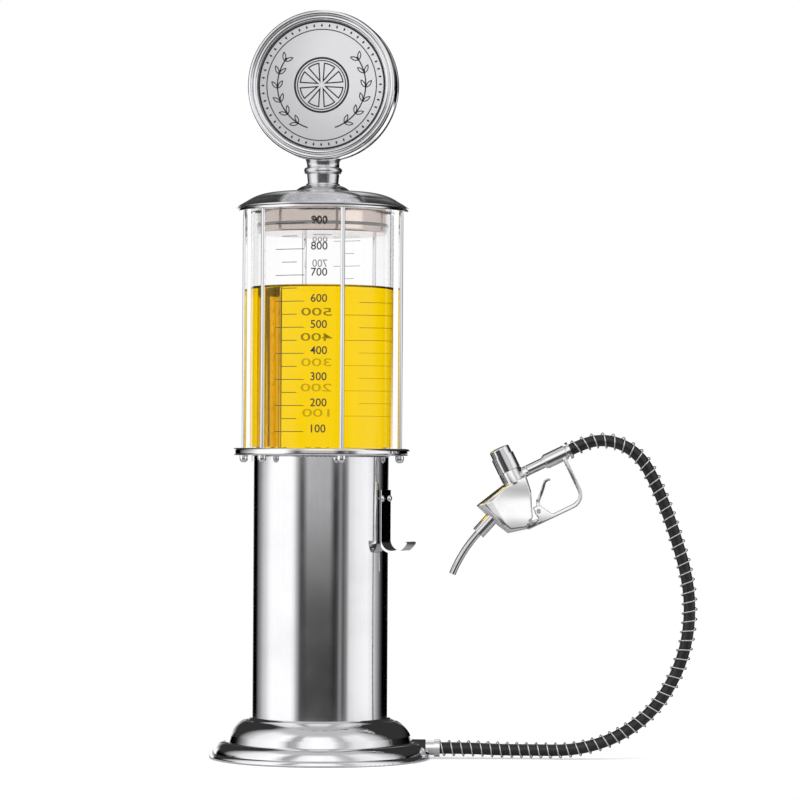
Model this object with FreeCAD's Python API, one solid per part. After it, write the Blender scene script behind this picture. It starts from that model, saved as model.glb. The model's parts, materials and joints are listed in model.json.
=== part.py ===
import FreeCAD, Part
import math
import os

# Countertop drinks dispenser shaped like an old filling pump: a weighted base, a polished column, a clear
# canister in a cage of rods, a lift-off lid with a round sign, and a hand nozzle on a wire-wound hose.
# Millimetres. The origin is the middle of the underside, +Z is up, and the sign faces -Y.

V = FreeCAD.Vector
UP = V(0, 0, 1)
ORIGIN = V(0, 0, 0)

# Clearances
fit_gap = 0.05
slide_gap = 0.10
free_gap = 0.30

# Foot and base
base_radius = 71.5
pad_inset = 5.5
pad_thick = 1.2
base_edge_z = 0.5
base_wall = 1.4
base_lip_height = 3.4
base_lip_draw = 2.0
base_lip_round = 0.3
lower_tier_inset = 10.5
lower_tier_height = 11.3
tier_crease = 1.1
tier_swell = 0.6
upper_tier_inset = 1.6
upper_tier_step = 4.0
upper_tier_swell = 0.9
shoulder_ledge = 4.7
base_shoulder_height = 25.0
base_height = 27.0
base_neck_round = 0.5
floor_plate_thick = 2.0
ballast_inset = 5.0
ballast_thick = 10.0
ballast_bore = 14.0
base_screw_radius = 1.9
base_screw_head = 3.6
base_screw_head_thick = 1.2
base_screw_circle = 30.0
base_screw_count = 4
screw_turn = 45.0

# Column
column_radius = 45.3
column_wall = 1.2
column_top = 196.2
column_lip = 1.6
foot_plate_thick = 3.0
head_plate_thick = 4.0
head_plate_bore = 11.0
flange_screw_radius = 1.5
flange_screw_head = 2.8
flange_screw_head_thick = 2.0
flange_screw_circle = 32.0
flange_screw_bite = 1.4

# Cage
flange_rim = 5.3
flange_thick = 4.8
flange_round = 1.6
rod_count = 6
rod_radius = 1.5
rod_standoff = 6.1
rod_tail = 3.6
cap_nut_radius = 2.9
cap_nut_height = 4.7
ring_rim = 3.3
ring_low = 353.9
ring_thick = 1.8
ring_round = 0.5

# Canister and drain
canister_bore = 43.0
canister_wall = 3.5
canister_floor = 2.0
canister_top = 355.2
gasket_thick = 1.0
gasket_seat = 3.0
gasket_inner = 36.0
drain_head_radius = 9.0
drain_head_thick = 1.2
drain_head_sink = 1.0
drain_shank = 5.5
drain_barb = 2.4
drain_bore = 1.5
drain_drop = 24.0
drain_nut_radius = 8.6
drain_nut_thick = 4.2

# Lid
lid_overhang = 0.3
lid_gap = 0.3
lid_wall = 1.6
lid_lip_height = 1.0
lid_crown_radius = 18.6
lid_height = 11.5
plug_clearance = 0.8
plug_depth = 15.7
plug_wall = 2.2
plug_round = 1.5
plug_flange = 5.2
plug_flange_gap = 0.7
plug_boss_wall = 2.0
seal_thick = 2.0
seal_groove = 1.5
seal_reach = 0.45
seal_round = 0.7
seal_depth = 4.0

# Neck and sign
collar_radius = 18.3
collar_height = 5.4
collar_lip = 1.0
neck_radius = 10.1
neck_bead = 12.6
neck_bead_up = 8.2
neck_bead_half = 2.3
neck_flare = 1.5
neck_stud_radius = 3.0
neck_stud_reach = 7.0
neck_nut_radius = 6.0
neck_nut_thick = 3.2
neck_length = 15.0
neck_saddle = 4.0
sign_turn = 6.0
sign_radius = 48.5
sign_drum_inset = 0.5
sign_drum_wall = 2.0
sign_half_depth = 10.0
bezel_depth = 3.8
bezel_width = 6.5
bezel_bead = 3.2
bezel_groove = 1.9
bezel_edge = 0.4
bezel_seat = 3.2
plate_thick = 1.0
plate_inset = 0.2

# Hook
hook_turn = -10.5
hook_width = 14.0
hook_thick = 1.5
hook_top = 174.5
hook_screw_z = 169.0
hook_screw_spacing = 10.6
hook_screw_head = 2.15
hook_screw_shank = 1.1
hook_screw_dome = 1.3
hook_screw_tail = 2.5
hook_drop_z = 134.0
hook_heel = 8.5
hook_throat = 11.2
hook_tip_angle = 62.0

# Hose, whose plane is turned from +X
hose_turn = 14.5
hose_radius = 3.8
hose_bore = 2.4
wire_radius = 0.45
wire_coil_radius = 5.1
wire_pitch = 6.3
feed_radius = 3.4
feed_bore = 2.45
feed_bend = 16.0
outlet_z = 6.9
outlet_reach = 6.5
outlet_radius = 4.6
outlet_flange = 5.7
outlet_flange_thick = 3.5
outlet_length = 21.0
outlet_socket = 8.0
grommet_lip = 1.0
grommet_start = 3.0
grommet_inset = 2.6

# The hose's route as (out from the middle, across, up)
hose_route = [
    (78.0, 0.0, 6.9),
    (97.0, 0.0, 6.9),
    (117.0, -1.5, 5.8),
    (140.0, -1.0, 5.8),
    (163.0, 1.5, 5.9),
    (183.5, 1.5, 10.6),
    (201.5, 0.6, 19.4),
    (216.5, 0.0, 32.0),
    (227.8, 0.0, 48.0),
    (235.6, 0.0, 66.0),
    (239.7, 0.0, 85.5),
    (240.0, 0.0, 105.5),
    (236.9, 0.0, 124.0),
    (232.0, 0.0, 140.5),
    (226.9, 0.0, 156.0),
    (221.1, 0.0, 171.0),
    (215.2, 0.0, 184.0),
    (208.7, 0.0, 195.2),
    (198.7, 0.0, 203.6),
    (186.4, 0.0, 207.6),
]
hose_last_run = 13.0

# Nozzle, laid out along its barrel and its button, then tilted
nozzle_tilt = 26.0
nozzle_out = 124.4
nozzle_up = 182.8
body_half = 7.4
body_steps = (-90.0, -62.0, -36.0, -12.0, 12.0, 36.0, 62.0, 90.0)
body_middle = [
    (-29.4, -6.2),
    (-8.4, -1.6),
    (8.8, -1.6),
    (7.2, -13.4),
    (2.9, -23.4),
    (0.9, -29.0),
    (-5.8, -34.6),
    (-18.4, -31.6),
    (-22.2, -24.0),
]
body_side = [
    (-18.8, -8.2),
    (-8.0, -3.6),
    (7.4, -3.0),
    (5.9, -13.2),
    (1.9, -23.2),
    (0.0, -28.6),
    (-6.2, -32.8),
    (-15.6, -29.6),
    (-17.2, -25.2),
]
turret_radius = 7.65
turret_low = -3.6
turret_top = 5.2
turret_floor = 1.8
chamber_radius = 4.2
chamber_low = -13.0
boss_radius = 3.6
boss_end = 11.0
barrel_radius = 3.5
barrel_bore = 2.0
barrel_ring_radius = 4.3
barrel_ring_thick = 1.0
sleeve_radius = 4.9
sleeve_start = 23.5
sleeve_end = 38.5
tail_radius = 3.8
tail_end = 41.5
tail_flange = 5.7
tail_flange_thick = 1.8

# Button and valve
button_sleeve_top = 15.6
button_sleeve_wall = 0.6
button_top = 21.4
button_skirt = 9.6
button_wall = 1.1
button_crown = 0.8
stem_radius = 1.5
seat_top = -2.8
seat_thick = 1.4
seat_bore = 2.2
poppet_radius = 3.2
poppet_thick = 2.0
button_spring_radius = 4.2
button_spring_wire = 0.35
button_spring_turns = 6

# Spout
spout_turn = 22.0
collar_out = (-35.8, -22.8)
spout_collar_length = 15.5
spout_collar_radius = 4.4
spout_radius = 2.3
spout_bore = 1.6
spout_seat = 3.0
spout_bend = 20.0
spout_length = 31.5

# Guard and trigger
guard_half = 4.5
guard_thick = 2.6
guard_front = 1.6
guard_low = -35.0
guard_back = 36.8
guard_start = -5.5
guard_corner = 9.5
guard_screw_at = (-1.9, -30.9)
guard_screw_radius = 1.2
guard_tongue_half = 2.4
guard_tongue_end = 3.0
guard_tongue_rise = 1.2
tongue_slot_length = 20.0
tongue_slot_depth = 8.0
lug_slot_half = 2.7
lug_front = 3.4
lug_back = 13.0
lug_shoulder = (9.4, -26.0)
lug_top = (8.0, -23.4)
pin_at = (5.6, -27.2)
pin_radius = 1.0
trigger_hub = 2.7
trigger_hub_half = 1.2
trigger_half = 4.0
trigger_arm = [
    (4.4, -26.2),
    (7.2, -26.2),
    (9.6, -20.6),
    (7.6, -19.2),
]
trigger_blade = [
    (7.4, -20.0),
    (9.4, -21.2),
    ((13.4, -17.6), (17.4, -13.2)),
    ((19.0, -12.1), (21.4, -12.5)),
    (21.8, -11.0),
    ((18.4, -10.2), (15.8, -11.9)),
    ((11.6, -16.2), (7.4, -20.0)),
]
trigger_spring_radius = 1.75
trigger_spring_wire = 0.25
trigger_spring_turns = 2

# Derived sizes and levels
pad_radius = base_radius - pad_inset
lower_tier_radius = base_radius - lower_tier_inset
upper_tier_radius = lower_tier_radius - upper_tier_inset
base_shoulder_radius = column_radius + shoulder_ledge
ballast_radius = upper_tier_radius - base_wall - ballast_inset
outlet_face = base_radius + outlet_reach
outlet_inner_end = outlet_face - outlet_length
floor_plate_top = pad_thick + floor_plate_thick
ballast_top = floor_plate_top + ballast_thick
foot_plate_top = ballast_top + foot_plate_thick
column_bore = column_radius - column_wall
flange_top = column_top + flange_thick
gasket_low = flange_top - gasket_seat
canister_low = gasket_low + gasket_thick
canister_radius = canister_bore + canister_wall
rod_circle = canister_radius + rod_standoff
flange_radius = rod_circle + flange_rim
ring_radius = rod_circle + ring_rim
lid_radius = ring_radius + lid_overhang
plug_radius = canister_bore - plug_clearance
canister_inside = canister_low + canister_floor
ring_top = ring_low + ring_thick
ring_bore = canister_radius + free_gap
lid_low = ring_top + lid_gap
lid_top = lid_low + lid_height
neck_low = lid_top + collar_height
sign_low = neck_low + neck_length
sign_centre_z = sign_low + sign_radius
sign_drum_radius = sign_radius - sign_drum_inset
bezel_inner = sign_radius - bezel_width


# Shapes used all over

def disc(radius, low, high, x=0.0, y=0.0):
    return Part.makeCylinder(radius, high - low, V(x, y, low))


def ring(outer, inner, low, high):
    return disc(outer, low, high).cut(disc(inner, low - 1.0, high + 1.0))


def rod(radius, start, end):
    """A round bar from one point to another."""
    along = end - start
    return Part.makeCylinder(radius, along.Length, start, along)


def outline(start, *steps):
    """A closed wire of (x, z) points: a step is a point, or an arc as a pair of points, middle and end."""
    edges = []
    here = V(start[0], 0, start[1])
    first = here
    for step in steps:
        if isinstance(step[0], tuple):
            middle = V(step[0][0], 0, step[0][1])
            there = V(step[1][0], 0, step[1][1])
            edges.append(Part.Arc(here, middle, there).toShape())
        else:
            there = V(step[0], 0, step[1])
            edges.append(Part.LineSegment(here, there).toShape())
        here = there
    if here.distanceToPoint(first) > 1e-6:
        edges.append(Part.LineSegment(here, first).toShape())
    return Part.Wire(edges)


def spun(start, *steps):
    """A solid turned about +Z from an outline of (radius, height) points."""
    return Part.Face(outline(start, *steps)).revolve(ORIGIN, UP, 360)


def slab(half, start, *steps):
    """An outline in the XZ plane made a plate of the given half width, centred on that plane."""
    face = Part.Face(outline(start, *steps))
    face.translate(V(0, half, 0))
    return face.extrude(V(0, -2 * half, 0))


def around(shape, angle):
    turned = shape.copy()
    turned.rotate(ORIGIN, UP, angle)
    return turned


def ring_places(count, circle, first=0.0):
    """Points evenly spaced on a circle about +Z."""
    places = []
    for index in range(count):
        angle = math.radians(first + 360.0 * index / count)
        places.append((circle * math.cos(angle), circle * math.sin(angle)))
    return places


def save(name, shape):
    shape.exportStep("parts/" + name + ".step")
    print(name, "solids", len(shape.Solids), "volume", round(shape.Volume, 1), "valid", shape.isValid())


def in_hose_plane(shape):
    """Turn a shape laid out along +X into the hose's plane."""
    return around(shape, hose_turn)


def in_nozzle(shape):
    """Tilt a shape laid out along the barrel (+X) and button (+Z) to where the nozzle is held."""
    placed = shape.copy()
    placed.rotate(ORIGIN, V(0, 1, 0), -nozzle_tilt)
    placed.translate(V(nozzle_out, 0, nozzle_up))
    return in_hose_plane(placed)


def nozzle_point(along, up):
    """A point of the nozzle's own layout, as (out, across, up) in the hose's plane."""
    tilt = math.radians(nozzle_tilt)
    out = nozzle_out + along * math.cos(tilt) - up * math.sin(tilt)
    height = nozzle_up + along * math.sin(tilt) + up * math.cos(tilt)
    return (out, 0.0, height)


# Paths made of runs and arcs, and wound wire

def rounded_path(points, share=0.45):
    """One wire of straight runs joined by tangent arcs, and the arcs' radii."""
    edges = []
    radii = []
    here = points[0]
    for before, corner, after in zip(points, points[1:], points[2:]):
        into = (corner - before).normalize()
        out = (after - corner).normalize()
        half = 0.5 * into.getAngle(out)
        reach = share * min(corner.distanceToPoint(before), corner.distanceToPoint(after))
        radius = reach / math.tan(half)
        start = corner - into * reach
        end = corner + out * reach
        inward = (out - into).normalize()
        middle = corner + inward * (radius / math.cos(half) - radius)
        edges.append(Part.LineSegment(here, start).toShape())
        edges.append(Part.Arc(start, middle, end).toShape())
        radii.append(radius)
        here = end
    edges.append(Part.LineSegment(here, points[-1]).toShape())
    return Part.Wire(edges), radii


def swept(wire, radius):
    """A round solid along a path."""
    first = wire.OrderedEdges[0]
    start = first.valueAt(first.FirstParameter)
    heading = first.tangentAt(first.FirstParameter)
    circle = Part.Wire([Part.Circle(start, heading, radius).toShape()])
    return wire.makePipeShell([circle], True, False)


def hollow_tube(wire, radius, bore):
    return swept(wire, radius).cut(swept(wire, bore))


def arc_from_corner(start, corner, end):
    """The arc that leaves start towards corner and reaches end, where both legs are equal."""
    middle = (start + end) * 0.5
    half_chord = start.distanceToPoint(middle)
    leg = start.distanceToPoint(corner)
    rise = corner.distanceToPoint(middle)
    if rise < 1e-6:
        return Part.LineSegment(start, end).toShape()
    top = middle + (corner - middle) * (half_chord * (leg - half_chord) / rise ** 2)
    return Part.Arc(start, top, end).toShape()


def biarc(start, heading, end, final):
    """Two arcs that join two points and match the direction at each."""
    gap = end - start
    both = heading + final
    spread = 2 * (1 - heading.dot(final))
    along = gap.dot(both)
    leg = (-along + math.sqrt(along ** 2 + spread * gap.dot(gap))) / spread
    first_corner = start + heading * leg
    second_corner = end - final * leg
    join = (first_corner + second_corner) * 0.5
    return [arc_from_corner(start, first_corner, join), arc_from_corner(join, second_corner, end)]


def place_on(wire, distance):
    """The point and direction at a distance along a path."""
    left = distance
    edges = wire.OrderedEdges
    for edge in edges:
        if left <= edge.Length or edge is edges[-1]:
            at = edge.getParameterByLength(min(left, edge.Length))
            return edge.valueAt(at), edge.tangentAt(at)
        left -= edge.Length
    return None


def coil_point(wire, distance, radius, angle, side):
    """A point at an angle round a path, off it by a radius. The side vector sets where angle 0 is."""
    centre, heading = place_on(wire, distance)
    across = (side - heading * side.dot(heading)).normalize()
    over = heading.cross(across)
    return centre + across * (radius * math.cos(angle)) + over * (radius * math.sin(angle))


def wound_wire(wire, radius, thick, pitch, side, steps=4):
    """Wire wound round a path, its ends running straight along the path for one thickness."""
    tail = 2 * thick
    turns = round((wire.Length - 2 * tail) / pitch)
    count = turns * steps
    advance = (wire.Length - 2 * tail) / (count + 2)
    nudge = 0.02
    points = [coil_point(wire, 0.0, radius, 0.0, side), coil_point(wire, tail, radius, 0.0, side)]
    headings = [place_on(wire, 0.0)[1], place_on(wire, tail)[1]]
    for index in range(1, count + 2):
        distance = tail + advance * index
        angle = 2 * math.pi * index / steps
        turn_nudge = 2 * math.pi * nudge / (steps * advance)
        before = coil_point(wire, distance - nudge, radius, angle - turn_nudge, side)
        after = coil_point(wire, distance + nudge, radius, angle + turn_nudge, side)
        points.append(coil_point(wire, distance, radius, angle, side))
        headings.append((after - before).normalize())
    last_angle = 2 * math.pi * (count + 2) / steps
    for distance in (wire.Length - tail, wire.Length):
        points.append(coil_point(wire, distance, radius, last_angle, side))
        headings.append(place_on(wire, distance)[1])
    edges = [Part.LineSegment(points[0], points[1]).toShape()]
    for index in range(1, len(points) - 2):
        edges += biarc(points[index], headings[index], points[index + 1], headings[index + 1])
    edges.append(Part.LineSegment(points[-2], points[-1]).toShape())
    path = Part.Wire(edges)
    return swept(path, thick), path


def least_gap(path, radius, thick):
    """The least clear distance of a wound wire to itself, over the next two turns, measured on points."""
    step = 0.6
    turn = 2 * math.pi * radius
    points = path.discretize(Distance=step)
    nearest = int(0.5 * turn / step)
    farthest = int(2.5 * turn / step)
    least = turn
    for index, point in enumerate(points):
        for other in points[index + nearest:index + farthest]:
            least = min(least, point.distanceToPoint(other))
    return least - 2 * thick


def straight_coil(radius, thick, low, high, turns):
    """A free-standing compression spring along +Z, wound on biarcs of a quarter turn."""
    steps = 4
    rise = (high - low - 2 * thick) / (turns * steps)
    edges = []
    points = []
    headings = []
    for index in range(turns * steps + 1):
        angle = 2 * math.pi * index / steps
        points.append(V(radius * math.cos(angle), radius * math.sin(angle), low + thick + rise * index))
        quarter = 2 * math.pi * radius / steps
        headings.append(V(-quarter * math.sin(angle), quarter * math.cos(angle), rise).normalize())
    for index in range(turns * steps):
        edges += biarc(points[index], headings[index], points[index + 1], headings[index + 1])
    return swept(Part.Wire(edges), thick)


# Base

def base_outline(shrink):
    """The base's two-tier section, moved inwards and down by the given amount."""
    lip_radius = base_radius - base_lip_draw - shrink
    crease = base_edge_z + base_lip_height - shrink
    tier = lower_tier_height - shrink
    step = lower_tier_height + upper_tier_step - shrink
    shoulder = base_shoulder_height - shrink
    return [
        (0.0, base_edge_z - shrink * 2),
        (base_radius - shrink, base_edge_z - shrink * 2),
        ((base_radius - base_lip_round - shrink, 0.6 * crease), (lip_radius, crease)),
        ((0.62 * lip_radius + 0.38 * (lower_tier_radius - shrink), 0.32 * crease + 0.68 * tier + tier_swell),
         (lower_tier_radius - shrink, tier)),
        (upper_tier_radius + tier_crease - shrink, tier),
        (upper_tier_radius - shrink, step),
        ((0.5 * (upper_tier_radius + base_shoulder_radius) + upper_tier_swell - shrink,
          0.5 * (step + shoulder) + upper_tier_swell),
         (base_shoulder_radius - shrink, shoulder)),
        ((column_radius + 0.43 * shoulder_ledge - shrink, 0.65 * shoulder + 0.35 * (base_height - shrink)),
         (column_radius + base_neck_round - shrink, base_height - shrink)),
        (0.0, base_height - shrink),
    ]


def base_shell():
    shell = spun(*base_outline(0.0)).cut(spun(*base_outline(base_wall)))
    shell = shell.cut(disc(column_radius + slide_gap, 0.0, base_height + 1.0))
    hole = rod(outlet_radius + grommet_lip, V(outlet_inner_end, 0, outlet_z), V(base_radius + 2, 0, outlet_z))
    return shell.cut(in_hose_plane(hole))


def base_screw_places():
    return ring_places(base_screw_count, base_screw_circle, hose_turn + screw_turn)


def foot_pad():
    return disc(pad_radius, 0.0, pad_thick)


def floor_plate():
    plate = disc(base_radius - base_lip_draw - base_wall - 2 * free_gap, pad_thick, floor_plate_top)
    passage_radius = outlet_radius + grommet_lip + free_gap
    passage = rod(passage_radius, V(outlet_inner_end - 2, 0, outlet_z), V(base_radius, 0, outlet_z))
    plate = plate.cut(in_hose_plane(passage))
    head_top = pad_thick + base_screw_head_thick
    for x, y in base_screw_places():
        plate = plate.cut(disc(base_screw_radius + slide_gap, 0.0, floor_plate_top + 1.0, x, y))
        plate = plate.cut(disc(base_screw_head + slide_gap, 0.0, head_top, x, y))
    return plate


def ballast():
    weight = ring(ballast_radius, ballast_bore, floor_plate_top, ballast_top)
    slot_half = feed_radius + 1.0
    corner = V(0, -slot_half, floor_plate_top - 1)
    slot = Part.makeBox(ballast_radius + 5, 2 * slot_half, ballast_thick + 2, corner)
    weight = weight.cut(in_hose_plane(slot))
    for x, y in base_screw_places():
        weight = weight.cut(disc(base_screw_radius + slide_gap, 0.0, ballast_top + 1.0, x, y))
    return weight


def foot_plate():
    plate = ring(column_bore - fit_gap, ballast_bore, ballast_top, foot_plate_top)
    for x, y in base_screw_places():
        plate = plate.cut(disc(base_screw_radius + fit_gap, ballast_top - 1, foot_plate_top + 1, x, y))
    return plate


def base_screws():
    screws = []
    for x, y in base_screw_places():
        screw = disc(base_screw_head, pad_thick, pad_thick + base_screw_head_thick, x, y)
        screws.append(screw.fuse(disc(base_screw_radius, pad_thick, foot_plate_top, x, y)).removeSplitter())
    return Part.makeCompound(screws)


def base_grommet():
    """A rubber grommet that lines the hole in the base's side, with a lip outside and the fitting inside."""
    start = V(outlet_inner_end + grommet_start, 0, outlet_z)
    end = V(base_radius - grommet_inset, 0, outlet_z)
    body = rod(outlet_radius + grommet_lip - fit_gap, start, end)
    inside = V(outlet_inner_end, 0, outlet_z)
    body = body.cut(rod(outlet_radius + fit_gap, inside, V(outlet_face, 0, outlet_z)))
    return in_hose_plane(body)


def hose_outlet():
    """The fitting on the base that the hose pushes up to."""
    flange_start = outlet_face - outlet_flange_thick
    body = rod(outlet_radius, V(outlet_inner_end, 0, outlet_z), V(outlet_face, 0, outlet_z))
    body = body.fuse(rod(outlet_flange, V(flange_start, 0, outlet_z), V(outlet_face, 0, outlet_z)))
    body = body.removeSplitter()
    socket_end = V(outlet_inner_end + outlet_socket, 0, outlet_z)
    body = body.cut(rod(feed_radius + fit_gap, V(outlet_inner_end - 1, 0, outlet_z), socket_end))
    body = body.cut(rod(hose_bore, V(outlet_inner_end, 0, outlet_z), V(outlet_face + 1, 0, outlet_z)))
    return in_hose_plane(body)


# Column

def column_tube():
    tube = ring(column_radius, column_bore, ballast_top, column_top)
    top_edge = [edge for edge in tube.Edges
                if abs(edge.CenterOfMass.z - column_top) < 0.01 and edge.Length > 6.27 * column_radius]
    tube = tube.makeFillet(min(column_lip, 0.6 * column_wall), top_edge)
    for y in (-0.5 * hook_screw_spacing, 0.5 * hook_screw_spacing):
        inside = V(column_bore - 1, y, hook_screw_z)
        outside = V(column_radius + 1, y, hook_screw_z)
        tube = tube.cut(around(rod(hook_screw_shank + slide_gap, inside, outside), hook_turn))
    return tube


def flange_screw_places():
    return ring_places(base_screw_count, flange_screw_circle, screw_turn)


def head_plate():
    low = column_top - head_plate_thick
    plate = ring(column_bore - fit_gap, head_plate_bore, low, column_top)
    for x, y in flange_screw_places():
        plate = plate.cut(disc(flange_screw_radius + slide_gap, low - 1, column_top + 1, x, y))
    return plate


def flange_screws():
    low = column_top - head_plate_thick
    screws = []
    for x, y in flange_screw_places():
        head = disc(flange_screw_head, low - flange_screw_head_thick, low, x, y)
        shank = disc(flange_screw_radius, low - flange_screw_head_thick, column_top + flange_screw_bite, x, y)
        screws.append(head.fuse(shank).removeSplitter())
    return Part.makeCompound(screws)


def hose_hook():
    """A strap down the column that ends in an upturned hook."""
    inner = column_radius + fit_gap
    outer = inner + hook_thick
    heel = outer + hook_heel - hook_thick
    tip = math.radians(hook_tip_angle)
    heel_z = hook_drop_z + hook_thick + hook_heel - hook_thick
    throat_z = hook_drop_z + hook_thick + hook_throat
    small = hook_heel - hook_thick
    large = hook_throat + hook_thick
    middle = math.radians(45.0)
    strap = slab(
        0.5 * hook_width,
        (inner, hook_top),
        (inner, heel_z),
        ((heel - hook_heel * math.cos(middle), heel_z - hook_heel * math.sin(middle)),
         (heel, heel_z - hook_heel)),
        ((heel + large * math.sin(0.5 * tip), throat_z - large * math.cos(0.5 * tip)),
         (heel + large * math.sin(tip), throat_z - large * math.cos(tip))),
        (heel + hook_throat * math.sin(tip), throat_z - hook_throat * math.cos(tip)),
        ((heel + hook_throat * math.sin(0.5 * tip), throat_z - hook_throat * math.cos(0.5 * tip)),
         (heel, throat_z - hook_throat)),
        ((heel - small * math.cos(middle), heel_z - small * math.sin(middle)), (outer, heel_z)),
        (outer, hook_top),
    )
    for y in (-0.5 * hook_screw_spacing, 0.5 * hook_screw_spacing):
        hole = rod(hook_screw_shank + slide_gap, V(inner - 3, y, hook_screw_z), V(outer + 2, y, hook_screw_z))
        strap = strap.cut(hole)
    return around(strap, hook_turn)


def hook_screws():
    face = column_radius + fit_gap + hook_thick
    screws = []
    for y in (-0.5 * hook_screw_spacing, 0.5 * hook_screw_spacing):
        reach = face - column_bore + hook_screw_tail
        screw = spun(
            (0.0, -reach),
            (hook_screw_shank, -reach),
            (hook_screw_shank, 0.0),
            (hook_screw_head, 0.0),
            ((0.75 * hook_screw_head, 0.7 * hook_screw_dome), (0.2 * hook_screw_head, hook_screw_dome)),
            (0.0, hook_screw_dome),
        )
        screw.rotate(ORIGIN, V(0, 1, 0), 90)
        screw.translate(V(face, y, hook_screw_z))
        screws.append(around(screw, hook_turn))
    return Part.makeCompound(screws)


# Cage

def rod_places():
    return ring_places(rod_count, rod_circle)


def rounded_ring(outer, inner, low, high, rounding):
    """A flat ring with its outer edge rounded."""
    return spun(
        (inner, low),
        (outer - rounding, low),
        ((outer - 0.29 * rounding, low + 0.29 * rounding), (outer, low + rounding)),
        (outer, high - rounding),
        ((outer - 0.29 * rounding, high - 0.29 * rounding), (outer - rounding, high)),
        (inner, high),
    )


def lower_flange():
    flange = rounded_ring(flange_radius, drain_shank + slide_gap, column_top, flange_top, flange_round)
    flange = flange.cut(disc(canister_radius + slide_gap, gasket_low, flange_top + 1))
    for x, y in rod_places():
        flange = flange.cut(disc(rod_radius + fit_gap, column_top - 1, flange_top + 1, x, y))
    for x, y in flange_screw_places():
        flange = flange.cut(disc(flange_screw_radius + fit_gap, column_top - 1,
                                 column_top + flange_screw_bite + free_gap, x, y))
    return flange


def cap_nuts():
    """Domed nuts under the flange, one for each rod."""
    nuts = []
    for x, y in rod_places():
        low = column_top - cap_nut_height
        nut = disc(cap_nut_radius, low + cap_nut_radius, column_top, x, y)
        dome = Part.makeSphere(cap_nut_radius, V(x, y, low + cap_nut_radius), UP, -90, 0, 360)
        nut = nut.fuse(dome).removeSplitter()
        nuts.append(nut.cut(disc(rod_radius + fit_gap, column_top - rod_tail - fit_gap,
                                 column_top + 1, x, y)))
    return Part.makeCompound(nuts)


def cage_rod(place):
    x, y = place
    return disc(rod_radius, column_top - rod_tail, ring_top - 0.5 * ring_thick, x, y)


def cage_ring():
    top = rounded_ring(ring_radius, ring_bore, ring_low, ring_top, ring_round)
    for x, y in rod_places():
        top = top.cut(disc(rod_radius + fit_gap, ring_low - 1, ring_top - 0.5 * ring_thick + fit_gap, x, y))
    return top


# Canister and drain

def canister():
    cup = disc(canister_radius, canister_low, canister_top)
    cup = cup.cut(disc(canister_bore, canister_inside, canister_top + 1))
    cup = cup.cut(disc(drain_shank + slide_gap, canister_low - 1, canister_inside + 1))
    cup = cup.cut(disc(drain_head_radius + slide_gap, canister_inside - drain_head_sink, canister_inside + 1))
    rims = [edge for edge in cup.Edges if abs(edge.CenterOfMass.z - canister_top) < 0.01]
    return cup.makeFillet(0.3 * canister_wall, rims)


def canister_gasket():
    return ring(canister_radius, gasket_inner, gasket_low, canister_low)


def drain_fitting():
    """A flanged stud through the canister's floor and the flange, with a barb for the feed tube."""
    head_low = canister_inside - drain_head_sink
    barb_top = column_top - drain_drop * 0.5
    stud = disc(drain_head_radius, head_low, head_low + drain_head_thick)
    stud = stud.fuse(disc(drain_shank, barb_top, head_low + drain_head_thick))
    stud = stud.fuse(disc(drain_barb, column_top - drain_drop, head_low))
    stud = stud.removeSplitter()
    return stud.cut(disc(drain_bore, column_top - drain_drop - 1, head_low + drain_head_thick + 1))


def drain_nut():
    corners = ring_places(6, drain_nut_radius)
    low = column_top - drain_nut_thick
    points = [V(x, y, low) for x, y in corners]
    hexagon = Part.Face(Part.makePolygon(points + points[:1]))
    nut = hexagon.extrude(V(0, 0, drain_nut_thick))
    return nut.cut(disc(drain_shank + fit_gap, low - 1, column_top + 1))


def feed_tube():
    """The tube inside the column, from the drain's barb down and out to the hose's fitting."""
    top = column_top - drain_drop * 0.5
    points = [V(0, 0, top), V(0, 0, outlet_z), V(outlet_inner_end + outlet_socket, 0, outlet_z)]
    start = V(0, 0, outlet_z + feed_bend)
    middle = V(feed_bend * (1 - math.cos(math.pi / 4)), 0, outlet_z + feed_bend * (1 - math.sin(math.pi / 4)))
    end = V(feed_bend, 0, outlet_z)
    path = Part.Wire([
        Part.LineSegment(points[0], start).toShape(),
        Part.Arc(start, middle, end).toShape(),
        Part.LineSegment(end, points[2]).toShape(),
    ])
    return in_hose_plane(hollow_tube(path, feed_radius, feed_bore))


# Lid, neck and sign

def dome_outline(drop, inset):
    """The lid's section, moved down and in."""
    low = lid_low - drop
    rim = lid_radius - inset
    crown = lid_top - drop
    rise = lid_height
    lip = low + lid_lip_height
    brow = rim - 0.12 * lid_radius
    slope = rim - 0.44 * lid_radius
    return [
        (0.0, low),
        (rim - 0.4 * lid_lip_height, low),
        ((rim, low + 0.5 * lid_lip_height), (rim - 0.4 * lid_lip_height, lip)),
        ((0.5 * (rim + brow), low + 0.26 * rise), (brow, low + 0.43 * rise)),
        ((0.6 * brow + 0.4 * slope, low + 0.75 * rise), (slope, low + 0.9 * rise)),
        ((0.5 * (slope + lid_crown_radius), crown - 0.04 * rise), (lid_crown_radius - inset, crown)),
        (0.0, crown),
    ]


def lid_dome():
    dome = spun(*dome_outline(0.0, 0.0))
    hollow = spun(*dome_outline(lid_wall, lid_wall))
    dome = dome.cut(hollow)
    return dome.cut(disc(neck_stud_radius + slide_gap, lid_low, lid_top + 1))


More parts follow.
